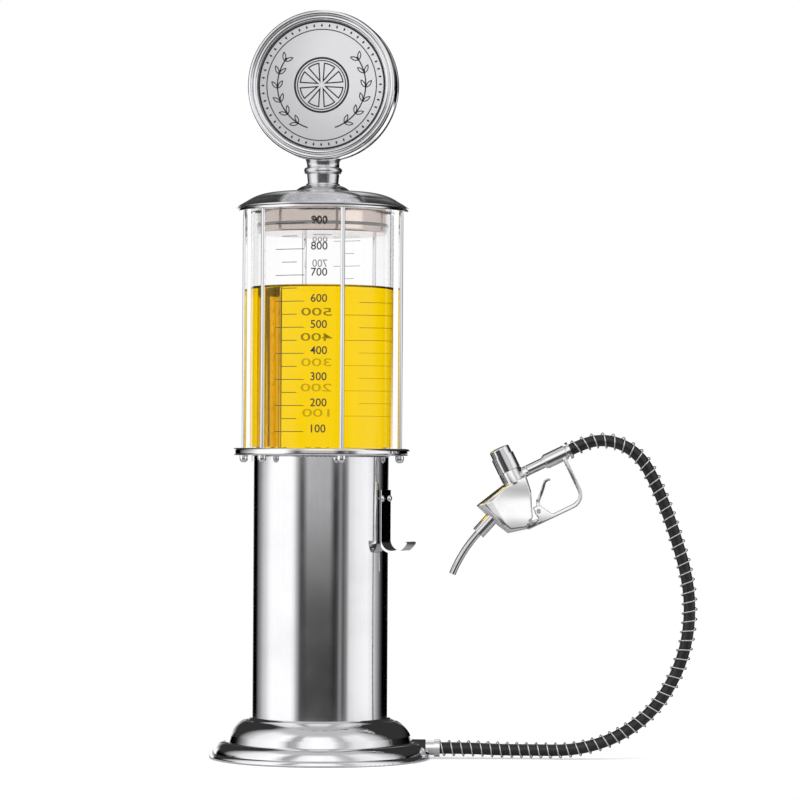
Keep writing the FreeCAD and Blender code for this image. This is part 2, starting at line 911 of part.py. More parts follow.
def lid_plug():
    """The cup that centres the lid in the canister's mouth."""
    low = ring_top - plug_depth
    top = lid_top - lid_wall - free_gap
    flange_low = ring_top + plug_flange_gap
    boss = neck_nut_radius + plug_boss_wall
    cup = spun(
        (0.0, low),
        (plug_radius - plug_round, low),
        ((plug_radius - 0.29 * plug_round, low + 0.29 * plug_round), (plug_radius, low + plug_round)),
        (plug_radius, flange_low),
        (plug_radius + plug_flange, flange_low),
        (plug_radius + plug_flange, flange_low + plug_wall),
        (plug_radius - plug_wall, flange_low + plug_wall),
        (plug_radius - plug_wall, low + plug_wall),
        (boss, low + plug_wall),
        (boss, top),
        (0.0, top),
    )
    cup = cup.cut(disc(neck_stud_radius + slide_gap, low - 1, top + 1))
    cup = cup.cut(disc(neck_nut_radius + slide_gap, low - 1, low + neck_nut_thick))
    groove_low = low + seal_depth
    groove = ring(plug_radius + 1, plug_radius - seal_groove, groove_low, groove_low + seal_thick)
    return cup.cut(groove)


def lid_seal():
    low = ring_top - plug_depth + seal_depth
    high = low + seal_thick - fit_gap
    outer = plug_radius + seal_reach
    return rounded_ring(outer, plug_radius - seal_groove + fit_gap, low + fit_gap, high, seal_round)


def neck_collar():
    """The sloping foot of the neck on the lid's crown."""
    top = neck_low
    rise = collar_height - collar_lip
    brow = neck_radius + collar_lip
    waist = brow + 0.9 * collar_lip
    body = spun(
        (0.0, lid_top),
        (collar_radius, lid_top),
        ((0.64 * collar_radius + 0.36 * brow, lid_top + 0.53 * rise), (waist, lid_top + 0.9 * rise)),
        (brow, lid_top + rise),
        ((brow - 0.2 * collar_lip, top - 0.3 * collar_lip), (neck_radius, top)),
        (0.0, top),
    )
    return body.cut(disc(neck_stud_radius + slide_gap, lid_top - 1, top + 1))


def sign_drum_form(radius, half):
    return around(Part.makeCylinder(radius, 2 * half, V(0, -half, sign_centre_z), V(0, 1, 0)), sign_turn)


def neck_post():
    """The beaded neck, saddled to the sign's rim."""
    low = neck_low
    bead = low + neck_bead_up
    over_bead = bead + neck_bead_half
    top = sign_low + neck_saddle
    throat = neck_radius + 0.4 * neck_flare
    body = spun(
        (0.0, low),
        (neck_radius, low),
        (throat, bead - neck_bead_half),
        ((neck_bead, bead), (throat, over_bead)),
        ((throat, 0.7 * over_bead + 0.3 * sign_low), (neck_radius + neck_flare, sign_low)),
        (neck_radius + neck_flare, top),
        (0.0, top),
    )
    body = body.cut(sign_drum_form(sign_radius + free_gap, sign_half_depth + 5))
    return body.cut(disc(neck_stud_radius + fit_gap, low - 1, top + 1))


def neck_stud():
    """The threaded stud that ties lid, neck and sign together."""
    return disc(neck_stud_radius, ring_top - plug_depth + fit_gap, sign_low + neck_stud_reach)


def stud_nuts():
    low = ring_top - plug_depth + fit_gap
    upper = sign_centre_z - sign_drum_radius + sign_drum_wall + 0.4
    nuts = []
    for start in (low, upper):
        points = [V(x, y, start) for x, y in ring_places(6, neck_nut_radius - 0.4)]
        nut = Part.Face(Part.makePolygon(points + points[:1])).extrude(V(0, 0, neck_nut_thick - 2 * slide_gap))
        nuts.append(nut.cut(disc(neck_stud_radius + fit_gap, start - 1, start + neck_nut_thick + 1)))
    return Part.makeCompound(nuts)


def sign_drum():
    half = sign_half_depth - bezel_depth
    drum = sign_drum_form(sign_drum_radius, half)
    drum = drum.cut(sign_drum_form(sign_drum_radius - sign_drum_wall, half + 1))
    return drum.cut(disc(neck_stud_radius + slide_gap, sign_low - 1, sign_low + neck_saddle + sign_drum_wall))


def facing(shape, side):
    """Stand a form spun about +Z up at the sign's centre, as its front face for side 1 and its back for -1."""
    placed = shape.copy()
    placed.rotate(ORIGIN, V(1, 0, 0), 90 * side)
    placed.translate(V(0, 0, sign_centre_z))
    return around(placed, sign_turn)


def sign_bezel(side):
    """The double-beaded ring round a face of the sign."""
    back = sign_half_depth - bezel_depth
    front = sign_half_depth
    seat_top = back + plate_inset + plate_thick + fit_gap
    crest = front - 0.29 * bezel_depth
    groove = sign_radius - bezel_bead
    bezel = spun(
        (bezel_inner + bezel_seat, back),
        (sign_radius - bezel_edge, back),
        ((sign_radius, 0.5 * (back + front)), (sign_radius - bezel_edge, crest)),
        ((sign_radius - 0.5 * (bezel_edge + bezel_bead), front), (groove, crest)),
        (groove - 0.5 * bezel_edge, front - bezel_groove),
        ((0.5 * (groove + bezel_inner), 0.66 * front + 0.34 * (front - bezel_groove)),
         (bezel_inner + 0.5 * bezel_edge, 0.1 * front + 0.9 * (front - bezel_groove))),
        (bezel_inner, seat_top),
        (bezel_inner + bezel_seat, seat_top),
    )
    return facing(bezel, side)


def sign_plate(side):
    """The flat round face held behind a bezel."""
    back = sign_half_depth - bezel_depth + plate_inset
    return facing(disc(bezel_inner + bezel_seat - fit_gap, back, back + plate_thick), side)


# Hose

def hose_points():
    """The hose's corner points, ending with its straight run into the nozzle's tail."""
    points = [V(x, -y, z) for x, y, z in hose_route]
    for along in (tail_end + hose_last_run, tail_end):
        out, across, up = nozzle_point(along, 0.0)
        points.append(V(out, -across, up))
    return points


def hose():
    path, radii = rounded_path(hose_points())
    print("hose length", round(path.Length, 1), "radii", [round(radius, 1) for radius in radii])
    tube = hollow_tube(path, hose_radius, hose_bore)
    expected = math.pi * (hose_radius ** 2 - hose_bore ** 2) * path.Length
    print("hose volume over section times length", round(tube.Volume / expected, 4))
    return in_hose_plane(tube), path


def hose_wire(path):
    wound, centre = wound_wire(path, wire_coil_radius, wire_radius, wire_pitch, V(0, 1, 0))
    print("wire gap", round(least_gap(centre, wire_coil_radius, wire_radius), 2))
    expected = math.pi * wire_radius ** 2 * centre.Length
    print("wire volume over section times length", round(wound.Volume / expected, 4))
    return in_hose_plane(wound)


# Nozzle

def body_blank():
    """The cast body: a broad middle whose outline draws in to a smaller one at each side, as a ruled form."""
    sections = []
    for step in body_steps:
        across = body_half * math.sin(math.radians(step))
        share = 1 - math.cos(math.radians(step))
        corners = []
        for middle, side in zip(body_middle, body_side):
            x = middle[0] + share * (side[0] - middle[0])
            z = middle[1] + share * (side[1] - middle[1])
            corners.append(V(x, across, z))
        sections.append(Part.makePolygon(corners + corners[:1]))
    return Part.makeLoft(sections, True, True)


def spout_axis(length):
    """A point on the spout collar's axis, measured back from its outer end."""
    turn = math.radians(spout_turn)
    return V(collar_out[0] + length * math.cos(turn), 0, collar_out[1] + length * math.sin(turn))


def nozzle_body():
    body = body_blank()
    body = body.fuse(disc(turret_radius, turret_low, turret_top))
    body = body.fuse(rod(boss_radius, V(0, 0, 0), V(boss_end, 0, 0)))
    chamber_top = turret_top - turret_floor
    body = body.cut(disc(chamber_radius, chamber_low, chamber_top))
    body = body.cut(disc(stem_radius + slide_gap, chamber_top - 1, turret_top + 1))
    body = body.cut(rod(barrel_bore, V(0, 0, 0), V(boss_end + 1, 0, 0)))
    body = body.cut(rod(spout_bore, V(-1.0, 0, chamber_low + 1.5), spout_axis(spout_collar_length + 2)))
    seat_end = spout_axis(spout_collar_length + fit_gap)
    body = body.cut(rod(spout_collar_radius + fit_gap, spout_axis(0), seat_end))
    pivot = V(guard_screw_at[0], 0, guard_screw_at[1])
    across = V(0, body_half + 1, 0)
    body = body.cut(rod(guard_screw_radius + fit_gap, pivot - across, pivot + across))
    slot_half = guard_tongue_half + slide_gap
    corner = V(guard_start - slide_gap, -slot_half, guard_low - 1.0)
    slot = Part.makeBox(tongue_slot_length, 2 * slot_half, tongue_slot_depth + 1.0, corner)
    body = body.cut(slot)
    return in_nozzle(body)


def barrel_tube():
    tube = rod(barrel_radius, V(boss_end, 0, 0), V(sleeve_start, 0, 0))
    ring_start = sleeve_start - barrel_ring_thick
    tube = tube.fuse(rod(barrel_ring_radius, V(ring_start, 0, 0), V(sleeve_start, 0, 0))).removeSplitter()
    return in_nozzle(tube.cut(rod(barrel_bore, V(boss_end - 1, 0, 0), V(sleeve_start + 1, 0, 0))))


def barrel_sleeve():
    sleeve = rod(sleeve_radius, V(sleeve_start, 0, 0), V(sleeve_end, 0, 0))
    sleeve = sleeve.makeFillet(0.5, [edge for edge in sleeve.Edges if edge.Length > 6.0 * sleeve_radius])
    return in_nozzle(sleeve.cut(rod(barrel_bore, V(sleeve_start - 1, 0, 0), V(sleeve_end + 1, 0, 0))))


def hose_tail():
    """The turning tail at the hose's end of the barrel."""
    tail = rod(tail_radius, V(sleeve_end, 0, 0), V(tail_end, 0, 0))
    flange = rod(tail_flange, V(tail_end - tail_flange_thick, 0, 0), V(tail_end, 0, 0))
    tail = tail.fuse(flange).removeSplitter()
    return in_nozzle(tail.cut(rod(barrel_bore, V(sleeve_end - 1, 0, 0), V(tail_end + 1, 0, 0))))


def spout_collar():
    collar = rod(spout_collar_radius, spout_axis(0), spout_axis(spout_collar_length))
    collar = collar.cut(rod(spout_radius + fit_gap, spout_axis(-1), spout_axis(spout_seat)))
    return in_nozzle(collar.cut(rod(spout_bore, spout_axis(0), spout_axis(spout_collar_length + 1))))


def spout_tube():
    turn = math.radians(180.0 + spout_turn)
    bend = math.radians(spout_bend)
    bend_radius = spout_length / bend
    start = spout_axis(0)
    centre = start + V(-math.sin(turn), 0, math.cos(turn)) * bend_radius

    def at(angle):
        return centre + V(math.sin(turn + angle), 0, -math.cos(turn + angle)) * bend_radius

    path = Part.Wire([
        Part.LineSegment(spout_axis(spout_seat), start).toShape(),
        Part.Arc(start, at(0.5 * bend), at(bend)).toShape(),
    ])
    return in_nozzle(hollow_tube(path, spout_radius, spout_bore))


def button_sleeve():
    return in_nozzle(ring(turret_radius, turret_radius - button_sleeve_wall, turret_top, button_sleeve_top))


def button_cap():
    radius = turret_radius - button_sleeve_wall - 2 * slide_gap
    top = button_top
    cap = spun(
        (0.0, top - button_wall - button_crown),
        (radius - button_wall, top - button_wall - button_crown),
        (radius - button_wall, button_skirt),
        (radius, button_skirt),
        (radius, top - button_crown - 0.6),
        ((radius - 0.3, top - button_crown + 0.1), (radius - 1.0, top - 0.6 * button_crown)),
        ((0.6 * radius, top - 0.2 * button_crown), (0.2 * radius, top)),
        (0.0, top),
    )
    return in_nozzle(cap)


def valve_stem():
    """The stem that hangs from the button, with the poppet that closes the valve at its foot."""
    top = button_top - button_wall - button_crown
    low = seat_top - seat_thick - free_gap
    stem = disc(stem_radius, low - poppet_thick, top)
    stem = stem.fuse(disc(poppet_radius, low - poppet_thick, low))
    return in_nozzle(stem.removeSplitter())


def valve_seat():
    return in_nozzle(ring(chamber_radius - fit_gap, seat_bore, seat_top - seat_thick, seat_top))


def button_spring():
    top = button_top - button_wall - button_crown
    spring = straight_coil(button_spring_radius, button_spring_wire, turret_top + fit_gap, top - fit_gap,
                           button_spring_turns)
    return in_nozzle(spring)


def guard():
    """The strap round the trigger, with the lugs that hold the trigger's pin and a tongue into the body."""
    inner_low = guard_low + guard_thick
    outer_back = guard_back
    inner_back = guard_back - guard_thick
    corner = guard_corner
    inner = guard_corner - guard_thick
    ease = 1 - math.sqrt(0.5)
    strap = slab(
        guard_half,
        (guard_front, guard_low),
        (outer_back - corner, guard_low),
        ((outer_back - ease * corner, guard_low + ease * corner), (outer_back, guard_low + corner)),
        (outer_back, 0.0),
        (inner_back, 0.0),
        (inner_back, inner_low + inner),
        ((inner_back - ease * inner, inner_low + ease * inner), (inner_back - inner, inner_low)),
        (guard_front, inner_low),
    )
    lug = slab(
        guard_half,
        (lug_front, inner_low),
        (lug_back, inner_low),
        lug_shoulder,
        lug_top,
        (lug_front, lug_top[1]),
    )
    lug = lug.cut(Part.makeBox(lug_back, 2 * lug_slot_half, guard_back, V(0, -lug_slot_half, inner_low)))
    tongue = slab(
        guard_tongue_half,
        (guard_start, guard_low),
        (guard_tongue_end, guard_low),
        (guard_tongue_end, inner_low + guard_tongue_rise),
        (guard_start, inner_low + guard_thick),
    )
    loop = strap.fuse([lug, tongue]).removeSplitter()
    loop = loop.cut(rod(sleeve_radius + fit_gap, V(sleeve_start, 0, 0), V(sleeve_end + 5, 0, 0)))
    pin = V(pin_at[0], 0, pin_at[1])
    across = V(0, guard_half + 1, 0)
    loop = loop.cut(rod(pin_radius + fit_gap, pin - across, pin + across))
    eye = V(guard_screw_at[0], 0, guard_screw_at[1])
    return in_nozzle(loop.cut(rod(guard_screw_radius + fit_gap, eye - across, eye + across)))


def guard_screw():
    eye = V(guard_screw_at[0], 0, guard_screw_at[1])
    across = V(0, body_half - 1.2, 0)
    return in_nozzle(rod(guard_screw_radius, eye - across, eye + across))


def trigger_pin():
    pin = V(pin_at[0], 0, pin_at[1])
    across = V(0, guard_half, 0)
    return in_nozzle(rod(pin_radius, pin - across, pin + across))


def trigger():
    """A curved blade on a hub that turns on the pin."""
    x, z = pin_at
    hub_low = -lug_slot_half + slide_gap
    hub_high = hub_low + 2 * trigger_hub_half
    hub = rod(trigger_hub, V(x, hub_low, z), V(x, hub_high, z))
    half = 0.5 * (hub_high - hub_low)
    arm = slab(half, *trigger_arm)
    arm.translate(V(0, 0.5 * (hub_high + hub_low), 0))
    blade = slab(trigger_half, *trigger_blade)
    whole = hub.fuse([arm, blade]).removeSplitter()
    bore = rod(pin_radius + slide_gap * 0.8, V(x, hub_low - 1, z), V(x, hub_high + 1, z))
    return in_nozzle(whole.cut(bore))


def trigger_spring():
    """The small return coil beside the trigger's hub, on the same pin."""
    low = -lug_slot_half + slide_gap + 2 * trigger_hub_half + free_gap
    coil = straight_coil(trigger_spring_radius, trigger_spring_wire, low, lug_slot_half - slide_gap,
                         trigger_spring_turns)
    coil.rotate(ORIGIN, V(1, 0, 0), -90)
    coil.translate(V(pin_at[0], 0, pin_at[1]))
    return in_nozzle(coil)


def main():
    os.makedirs("parts", exist_ok=True)
    save("foot_pad", foot_pad())
    save("floor_plate", floor_plate())
    save("ballast_weight", ballast())
    save("base_shell", base_shell())
    save("base_screws", base_screws())
    save("base_grommet", base_grommet())
    save("column_foot_plate", foot_plate())
    save("column_tube", column_tube())
    save("column_head_plate", head_plate())
    save("flange_screws", flange_screws())
    save("hose_hook", hose_hook())
    save("hook_screws", hook_screws())
    save("lower_flange", lower_flange())
    save("cap_nuts", cap_nuts())
    for number, place in enumerate(rod_places(), start=1):
        save("cage_rod_" + str(number), cage_rod(place))
    save("cage_ring", cage_ring())
    save("canister", canister())
    save("canister_gasket", canister_gasket())
    save("drain_fitting", drain_fitting())
    save("drain_nut", drain_nut())
    save("feed_tube", feed_tube())
    save("hose_outlet", hose_outlet())
    save("lid_dome", lid_dome())
    save("lid_plug", lid_plug())
    save("lid_seal", lid_seal())
    save("neck_collar", neck_collar())
    save("neck_post", neck_post())
    save("neck_stud", neck_stud())
    save("stud_nuts", stud_nuts())
    save("sign_drum", sign_drum())
    save("sign_front_bezel", sign_bezel(1))
    save("sign_back_bezel", sign_bezel(-1))
    save("sign_front_plate", sign_plate(1))
    save("sign_back_plate", sign_plate(-1))
    tube, path = hose()
    save("hose_tube", tube)
    save("hose_wire", hose_wire(path))
    save("hose_tail", hose_tail())
    save("barrel_tube", barrel_tube())
    save("barrel_sleeve", barrel_sleeve())
    save("nozzle_body", nozzle_body())
    save("spout_collar", spout_collar())
    save("spout_tube", spout_tube())
    save("button_sleeve", button_sleeve())
    save("button_cap", button_cap())
    save("button_spring", button_spring())
    save("valve_stem", valve_stem())
    save("valve_seat", valve_seat())
    save("trigger_guard", guard())
    save("guard_screw", guard_screw())
    save("trigger_pin", trigger_pin())
    save("trigger", trigger())
    save("trigger_spring", trigger_spring())


main()
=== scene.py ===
"""The looks of a countertop drinks dispenser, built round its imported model.

Metres. +Z is up, the sign faces -Y, and the hose leaves the base towards +X.
"""

import json
import math

import bmesh
import bpy
from mathutils import Matrix, Quaternion, Vector


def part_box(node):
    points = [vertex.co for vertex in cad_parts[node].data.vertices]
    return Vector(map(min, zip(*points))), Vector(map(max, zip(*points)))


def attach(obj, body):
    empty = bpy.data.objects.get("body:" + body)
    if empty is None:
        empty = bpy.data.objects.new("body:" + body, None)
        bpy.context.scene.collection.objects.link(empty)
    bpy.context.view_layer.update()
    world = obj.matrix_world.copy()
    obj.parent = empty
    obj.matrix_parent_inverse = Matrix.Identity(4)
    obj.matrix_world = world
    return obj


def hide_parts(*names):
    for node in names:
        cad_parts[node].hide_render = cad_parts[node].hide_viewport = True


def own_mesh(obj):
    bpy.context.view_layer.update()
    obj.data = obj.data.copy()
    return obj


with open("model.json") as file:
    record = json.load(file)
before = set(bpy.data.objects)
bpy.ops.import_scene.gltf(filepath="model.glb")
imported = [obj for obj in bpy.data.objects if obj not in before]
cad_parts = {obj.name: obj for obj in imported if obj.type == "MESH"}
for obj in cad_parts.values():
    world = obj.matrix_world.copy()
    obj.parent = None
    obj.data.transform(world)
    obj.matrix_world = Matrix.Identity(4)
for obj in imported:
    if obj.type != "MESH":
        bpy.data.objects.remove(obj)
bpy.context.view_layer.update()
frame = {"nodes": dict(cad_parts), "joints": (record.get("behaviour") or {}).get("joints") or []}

bl_info = {
    "name": "Drinks Dispenser",
    "version": (1, 0, 0),
    "blender": (4, 5, 0),
    "location": "3D View > Sidebar > Dispenser",
    "description": "Finishes, drink, scale, sign, hose and studio of a countertop drinks dispenser",
    "category": "Object",
}

MM = 0.001
WELD = 0.001 * MM

CANISTER_LOW, CANISTER_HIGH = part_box("canister")
DRAIN_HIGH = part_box("drain_fitting")[1]
PLATE_LOW, PLATE_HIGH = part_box("sign_front_plate")

# The hose's route in its own upright plane, as (out from the middle, across, up)
HOSE_ROUTE = (
    (0.0780, 0.0000, 0.0069),
    (0.0970, 0.0000, 0.0069),
    (0.1170, -0.0015, 0.0058),
    (0.1400, -0.0010, 0.0058),
    (0.1630, 0.0015, 0.0059),
    (0.1835, 0.0015, 0.0106),
    (0.2015, 0.0006, 0.0194),
    (0.2165, 0.0000, 0.0320),
    (0.2278, 0.0000, 0.0480),
    (0.2356, 0.0000, 0.0660),
    (0.2397, 0.0000, 0.0855),
    (0.2400, 0.0000, 0.1055),
    (0.2369, 0.0000, 0.1240),
    (0.2320, 0.0000, 0.1405),
    (0.2269, 0.0000, 0.1560),
    (0.2211, 0.0000, 0.1710),
    (0.2152, 0.0000, 0.1840),
    (0.2087, 0.0000, 0.1952),
    (0.1987, 0.0000, 0.2036),
    (0.1864, 0.0000, 0.2076),
    (0.1734, 0.0000, 0.2067),
    (0.1617, 0.0000, 0.2010),
)

# How far the drink's surface climbs its wall, as (in from the wall, down from the top of the rim) in millimetres
MENISCUS = ((0.0, 0.0), (0.2, 0.5), (0.8, 1.1), (2.2, 1.4), (5.0, 1.5))

# The print on the canister: the marks' ends along the arc, their width, the numbers' place and the ink's thickness
LONG_MARK = (-19.4 * MM, 1.2 * MM)
SHORT_MARK = (-14.3 * MM, -3.6 * MM)
MARK_WIDTH = 0.42 * MM
NUMBER_ACROSS = 10.8 * MM
NUMBER_RISE = 2.0 * MM
NUMBER_REACH = 7 * MM
NUMBER_WEIGHT = 0.008
INK_LIFT = 0.02 * MM
INK_DEPTH = 0.05 * MM
MARKS = 17

# Heights between which a thinned ink goes from its lower cover to its full cover
FAINT_BELOW = 0.262
FULL_ABOVE = 0.276

# Widths of the ornament's heavy and light lines, as shares of its line
HEAVY = 1.6
LIGHT = 0.8

# Roughness that wiping leaves on the bright plating
SMUDGE = 0.05

CHROME_NODES = (
    "base_shell", "lower_flange", "cap_nuts", *(f"cage_rod_{number}" for number in range(1, 7)), "cage_ring",
    "hose_hook", "hook_screws", "hose_outlet", "sign_front_bezel", "sign_back_bezel", "hose_tail", "barrel_tube",
    "barrel_sleeve", "spout_collar", "spout_tube", "button_sleeve", "button_cap", "guard_screw", "trigger_pin",
)
STEEL_NODES = (
    "base_screws", "column_foot_plate", "column_head_plate", "flange_screws", "drain_fitting", "drain_nut",
    "neck_stud", "stud_nuts", "valve_stem", "floor_plate",
)
SPRING_NODES = ("button_spring", "trigger_spring")
RUBBER_NODES = ("foot_pad", "base_grommet", "canister_gasket", "valve_seat")

# The castings, as (node, body, upward lean of its faces)
CAST_NODES = (("nozzle_body", "nozzle", 0.12), ("trigger_guard", "nozzle", 0.0), ("trigger", "trigger", 0.0))


class Signal:
    """A node's output, on which arithmetic adds Math nodes."""

    def __init__(self, shading, socket):
        self.shading = shading
        self.socket = socket

    def maths(self, operation, first, second):
        return self.shading.add("ShaderNodeMath", {"operation": operation}, {0: first, 1: second})

    def __add__(self, other):
        return self.maths("ADD", self, other)

    def __radd__(self, other):
        return self.maths("ADD", other, self)

    def __sub__(self, other):
        return self.maths("SUBTRACT", self, other)

    def __rsub__(self, other):
        return self.maths("SUBTRACT", other, self)

    def __mul__(self, other):
        return self.maths("MULTIPLY", self, other)

    def __rmul__(self, other):
        return self.maths("MULTIPLY", other, self)

    def __truediv__(self, other):
        return self.maths("DIVIDE", self, other)


class Shading:
    """The nodes of one material, or of the world."""

    def __init__(self, owner):
        owner.use_nodes = True
        self.tree = owner.node_tree
        self.tree.nodes.clear()

    def add(self, kind, settings=None, inputs=None, output=0):
        """Adds a node of a type, with its settings first and then its sockets' values or links."""
        node = self.tree.nodes.new(kind)
        for name, value in (settings or {}).items():
            if name == "stops":
                ramp = node.color_ramp.elements
                while len(ramp) > 1:
                    ramp.remove(ramp[-1])
                ramp[0].position = value[0][0]
                ramp[0].color = colour(value[0][1])
                for place, shade in value[1:]:
                    ramp.new(place).color = colour(shade)
            else:
                setattr(node, name, value)
        for name, value in (inputs or {}).items():
            if isinstance(value, Signal):
                self.tree.links.new(value.socket, node.inputs[name])
            else:
                node.inputs[name].default_value = value
        return Signal(self, node.outputs[output]) if len(node.outputs) else None

    def place(self, scale=(1.0, 1.0, 1.0), turn=(0.0, 0.0, 0.0)):
        """The point on the object, stretched and turned for a pattern."""
        spot = self.add("ShaderNodeTexCoord", output="Object")
        return self.add("ShaderNodeMapping", inputs={"Vector": spot, "Scale": scale, "Rotation": turn})

    def height(self, spot):
        """The upward part of a point."""
        return self.add("ShaderNodeSeparateXYZ", inputs={"Vector": spot}, output="Z")

    def rays(self):
        """A mask of what the camera sees, straight or through glass, and a mask of what mirrors show."""
        straight = self.add("ShaderNodeLightPath", output="Is Camera Ray")
        outputs = straight.socket.node.outputs
        seen = self.span(straight + Signal(self, outputs["Is Transmission Ray"]), 0, 1, smooth=False)
        return seen, Signal(self, outputs["Is Glossy Ray"])

    def noise(self, spot, scale, detail=3.0, roughness=0.55):
        return self.add(
            "ShaderNodeTexNoise", inputs={"Vector": spot, "Scale": scale, "Detail": detail, "Roughness": roughness}
        )

    def span(self, value, low, high, out_low=0.0, out_high=1.0, smooth=True):
        """A value carried from one range to another, and held at its ends."""
        return self.add(
            "ShaderNodeMapRange",
            {"interpolation_type": "SMOOTHSTEP" if smooth else "LINEAR"},
            {"Value": value, "From Min": low, "From Max": high, "To Min": out_low, "To Max": out_high},
        )

    def blend(self, mask, first, second):
        """Two colours mixed by a mask."""
        mixed = self.add("ShaderNodeMix", {"data_type": "RGBA"}, {"Factor": mask}, output=2)
        node = mixed.socket.node
        for socket, value in ((node.inputs[6], first), (node.inputs[7], second)):
            if isinstance(value, Signal):
                self.tree.links.new(value.socket, socket)
            else:
                socket.default_value = colour(value)
        return mixed

    def bump(self, height, strength, distance):
        return self.add("ShaderNodeBump", inputs={"Height": height, "Strength": strength, "Distance": distance})

    def surface(self, **sockets):
        """Ends the material with one Principled surface, whose sockets are named with underscores."""
        inputs = {name.replace("_", " "): value for name, value in sockets.items()}
        shader = self.add("ShaderNodeBsdfPrincipled", inputs=inputs)
        self.add("ShaderNodeOutputMaterial", inputs={"Surface": shader})


def colour(shade):
    """A grey level or a red, green, blue triple as a socket's colour."""
    if isinstance(shade, (int, float)):
        return (shade, shade, shade, 1.0)
    return (*tuple(shade)[:3], 1.0)


def new_material(name):
    material = bpy.data.materials.new(name)
    return material, Shading(material)


def mirror_chrome(name, tint, polish):
    """Bright plating: a clean mirror with faint wipe marks and hairlines."""
    material, shading = new_material(name)
    spot = shading.place()
    wiped = shading.span(shading.noise(spot, 38.0, 4.0), 0.42, 0.72)
    hairs = shading.span(shading.noise(shading.place((1.0, 1.0, 9.0), (0.3, 0.2, 0.0)), 420.0, 2.0), 0.62, 0.75)
    ripple = shading.noise(spot, 95.0, 1.0)
    shading.surface(
        Base_Color=shading.blend(wiped * 0.5, tint, [part * 0.93 for part in tint]),
        Metallic=1.0,
        Roughness=polish + wiped * SMUDGE + hairs * (0.6 * SMUDGE),
        Normal=shading.bump(ripple, 0.12, 0.00004),
    )
    return material


def drawn_steel(name, tint, grain, polish):
    """Polished steel with the fine lines of its drawing or turning, which run where the grain is squeezed."""
    material, shading = new_material(name)
    lines = shading.noise(shading.place(grain), 900.0, 3.0)
    wiped = shading.span(shading.noise(shading.place(), 26.0, 4.0), 0.4, 0.75)
    shading.surface(
        Base_Color=shading.blend(wiped * 0.5 + lines * 0.4, tint, [part * 0.86 for part in tint]),
        Metallic=1.0,
        Roughness=polish + wiped * 0.05 + lines * 0.03,
        Normal=shading.bump(lines, 0.05, 0.00002),
    )
    return material


def satin_plate(name, tint, painted_light_spot):
    """The sign's plates: fine-grained satin metal, whose colour holds painted light: brightest round a spot and greyer
    away from it.
    """
    material, shading = new_material(name)
    spot = shading.place()
    grain = shading.noise(spot, 2600.0, 2.0, 0.7)
    # Painted light and shade: the colour greys with the distance from a lit spot.
    away = shading.add("ShaderNodeVectorMath", {"operation": "DISTANCE"}, {0: spot, 1: painted_light_spot}, output=1)
    grey = shading.span(away, 0.016, 0.062)
    shading.surface(
        Base_Color=shading.blend(grey, tint, [part * 0.74 for part in tint]),
        Metallic=0.6,
        Roughness=0.3 + grain * 0.14,
        Normal=shading.bump(grain, 0.25, 0.00006),
    )
    return material


def plain_steel(name, tint, roughness):
    """Turned or rolled steel that is mostly hidden: dull, with a faint grain."""
    material, shading = new_material(name)
    grain = shading.noise(shading.place(), 700.0, 4.0)
    shading.surface(
        Base_Color=shading.blend(grain, tint, [part * 0.8 for part in tint]),
        Metallic=1.0,
        Roughness=roughness + grain * 0.12,
        Normal=shading.bump(grain, 0.2, 0.00005),
    )
    return material


def cast_iron(name, tint):
    """A rough grey casting."""
    material, shading = new_material(name)
    grain = shading.noise(shading.place(), 260.0, 6.0, 0.65)
    shading.surface(
        Base_Color=shading.blend(grain, tint, [part * 0.6 for part in tint]),
        Metallic=0.6,
        Roughness=0.55 + grain * 0.3,
        Normal=shading.bump(grain, 0.6, 0.0004),
    )
    return material


def matt_rubber(name, tint, roughness):
    """Moulded rubber, with a fine pebble and a little bloom."""
    material, shading = new_material(name)
    pebble = shading.noise(shading.place(), 1500.0, 2.0)
    bloom = shading.span(shading.noise(shading.place(), 60.0, 4.0), 0.4, 0.8)
    shading.surface(
        Base_Color=shading.blend(bloom, tint, [part * 1.7 + 0.004 for part in tint]),
        Roughness=roughness + pebble * 0.15,
        Normal=shading.bump(pebble, 0.25, 0.00008),
    )
    return material


def clear_plastic(name, tint):
    """Clear acrylic, with the odd faint scuff."""
    material, shading = new_material(name)
    scuff = shading.span(shading.noise(shading.place((1.0, 1.0, 3.0)), 180.0, 4.0), 0.66, 0.8)
    shading.surface(
        Base_Color=colour(tint),
        Roughness=0.008 + scuff * 0.05,
        Transmission_Weight=1.0,
        IOR=1.49,
        Specular_Tint=colour(0.5),
    )
    return material


def moulded_plastic(name, tint, roughness):
    """Plain moulded plastic with a faint mottle."""
    material, shading = new_material(name)
    mottle = shading.noise(shading.place(), 320.0, 3.0)
    shading.surface(
        Base_Color=shading.blend(mottle, tint, [part * 0.93 for part in tint]),
        Roughness=roughness + mottle * 0.1,
        Normal=shading.bump(mottle, 0.1, 0.00005),
    )
    return material


def drink_liquid(name, tint):
    """A clear, strongly coloured liquid with a slightly uneven depth of colour."""
    material, shading = new_material(name)
    swirl = shading.noise(shading.place((1.0, 1.0, 0.6)), 34.0, 3.0)
    shading.surface(
        Base_Color=shading.blend(swirl, tint, [part * 0.985 for part in tint]),
        Roughness=0.0,
        Transmission_Weight=1.0,
        IOR=1.34,
        Specular_Tint=colour(tint),
    )
    return material


def cast_chrome(name, tint, polish, lean):
    """Plated castings, whose hand-polished faces swell a little and lean upwards."""
    material, shading = new_material(name)
    spot = shading.place()
    swell = shading.noise(spot, 40.0, 0.0)
    wiped = shading.span(shading.noise(spot, 90.0, 4.0), 0.42, 0.72)
    shading.surface(
        Base_Color=shading.blend(wiped, tint, [part * 0.94 for part in tint]),
        Metallic=1.0,
        Roughness=polish + wiped * 0.04,
        Normal=shading.bump(swell * 0.005 - shading.height(spot) * lean, 1.0, 1.0),
    )
    return material


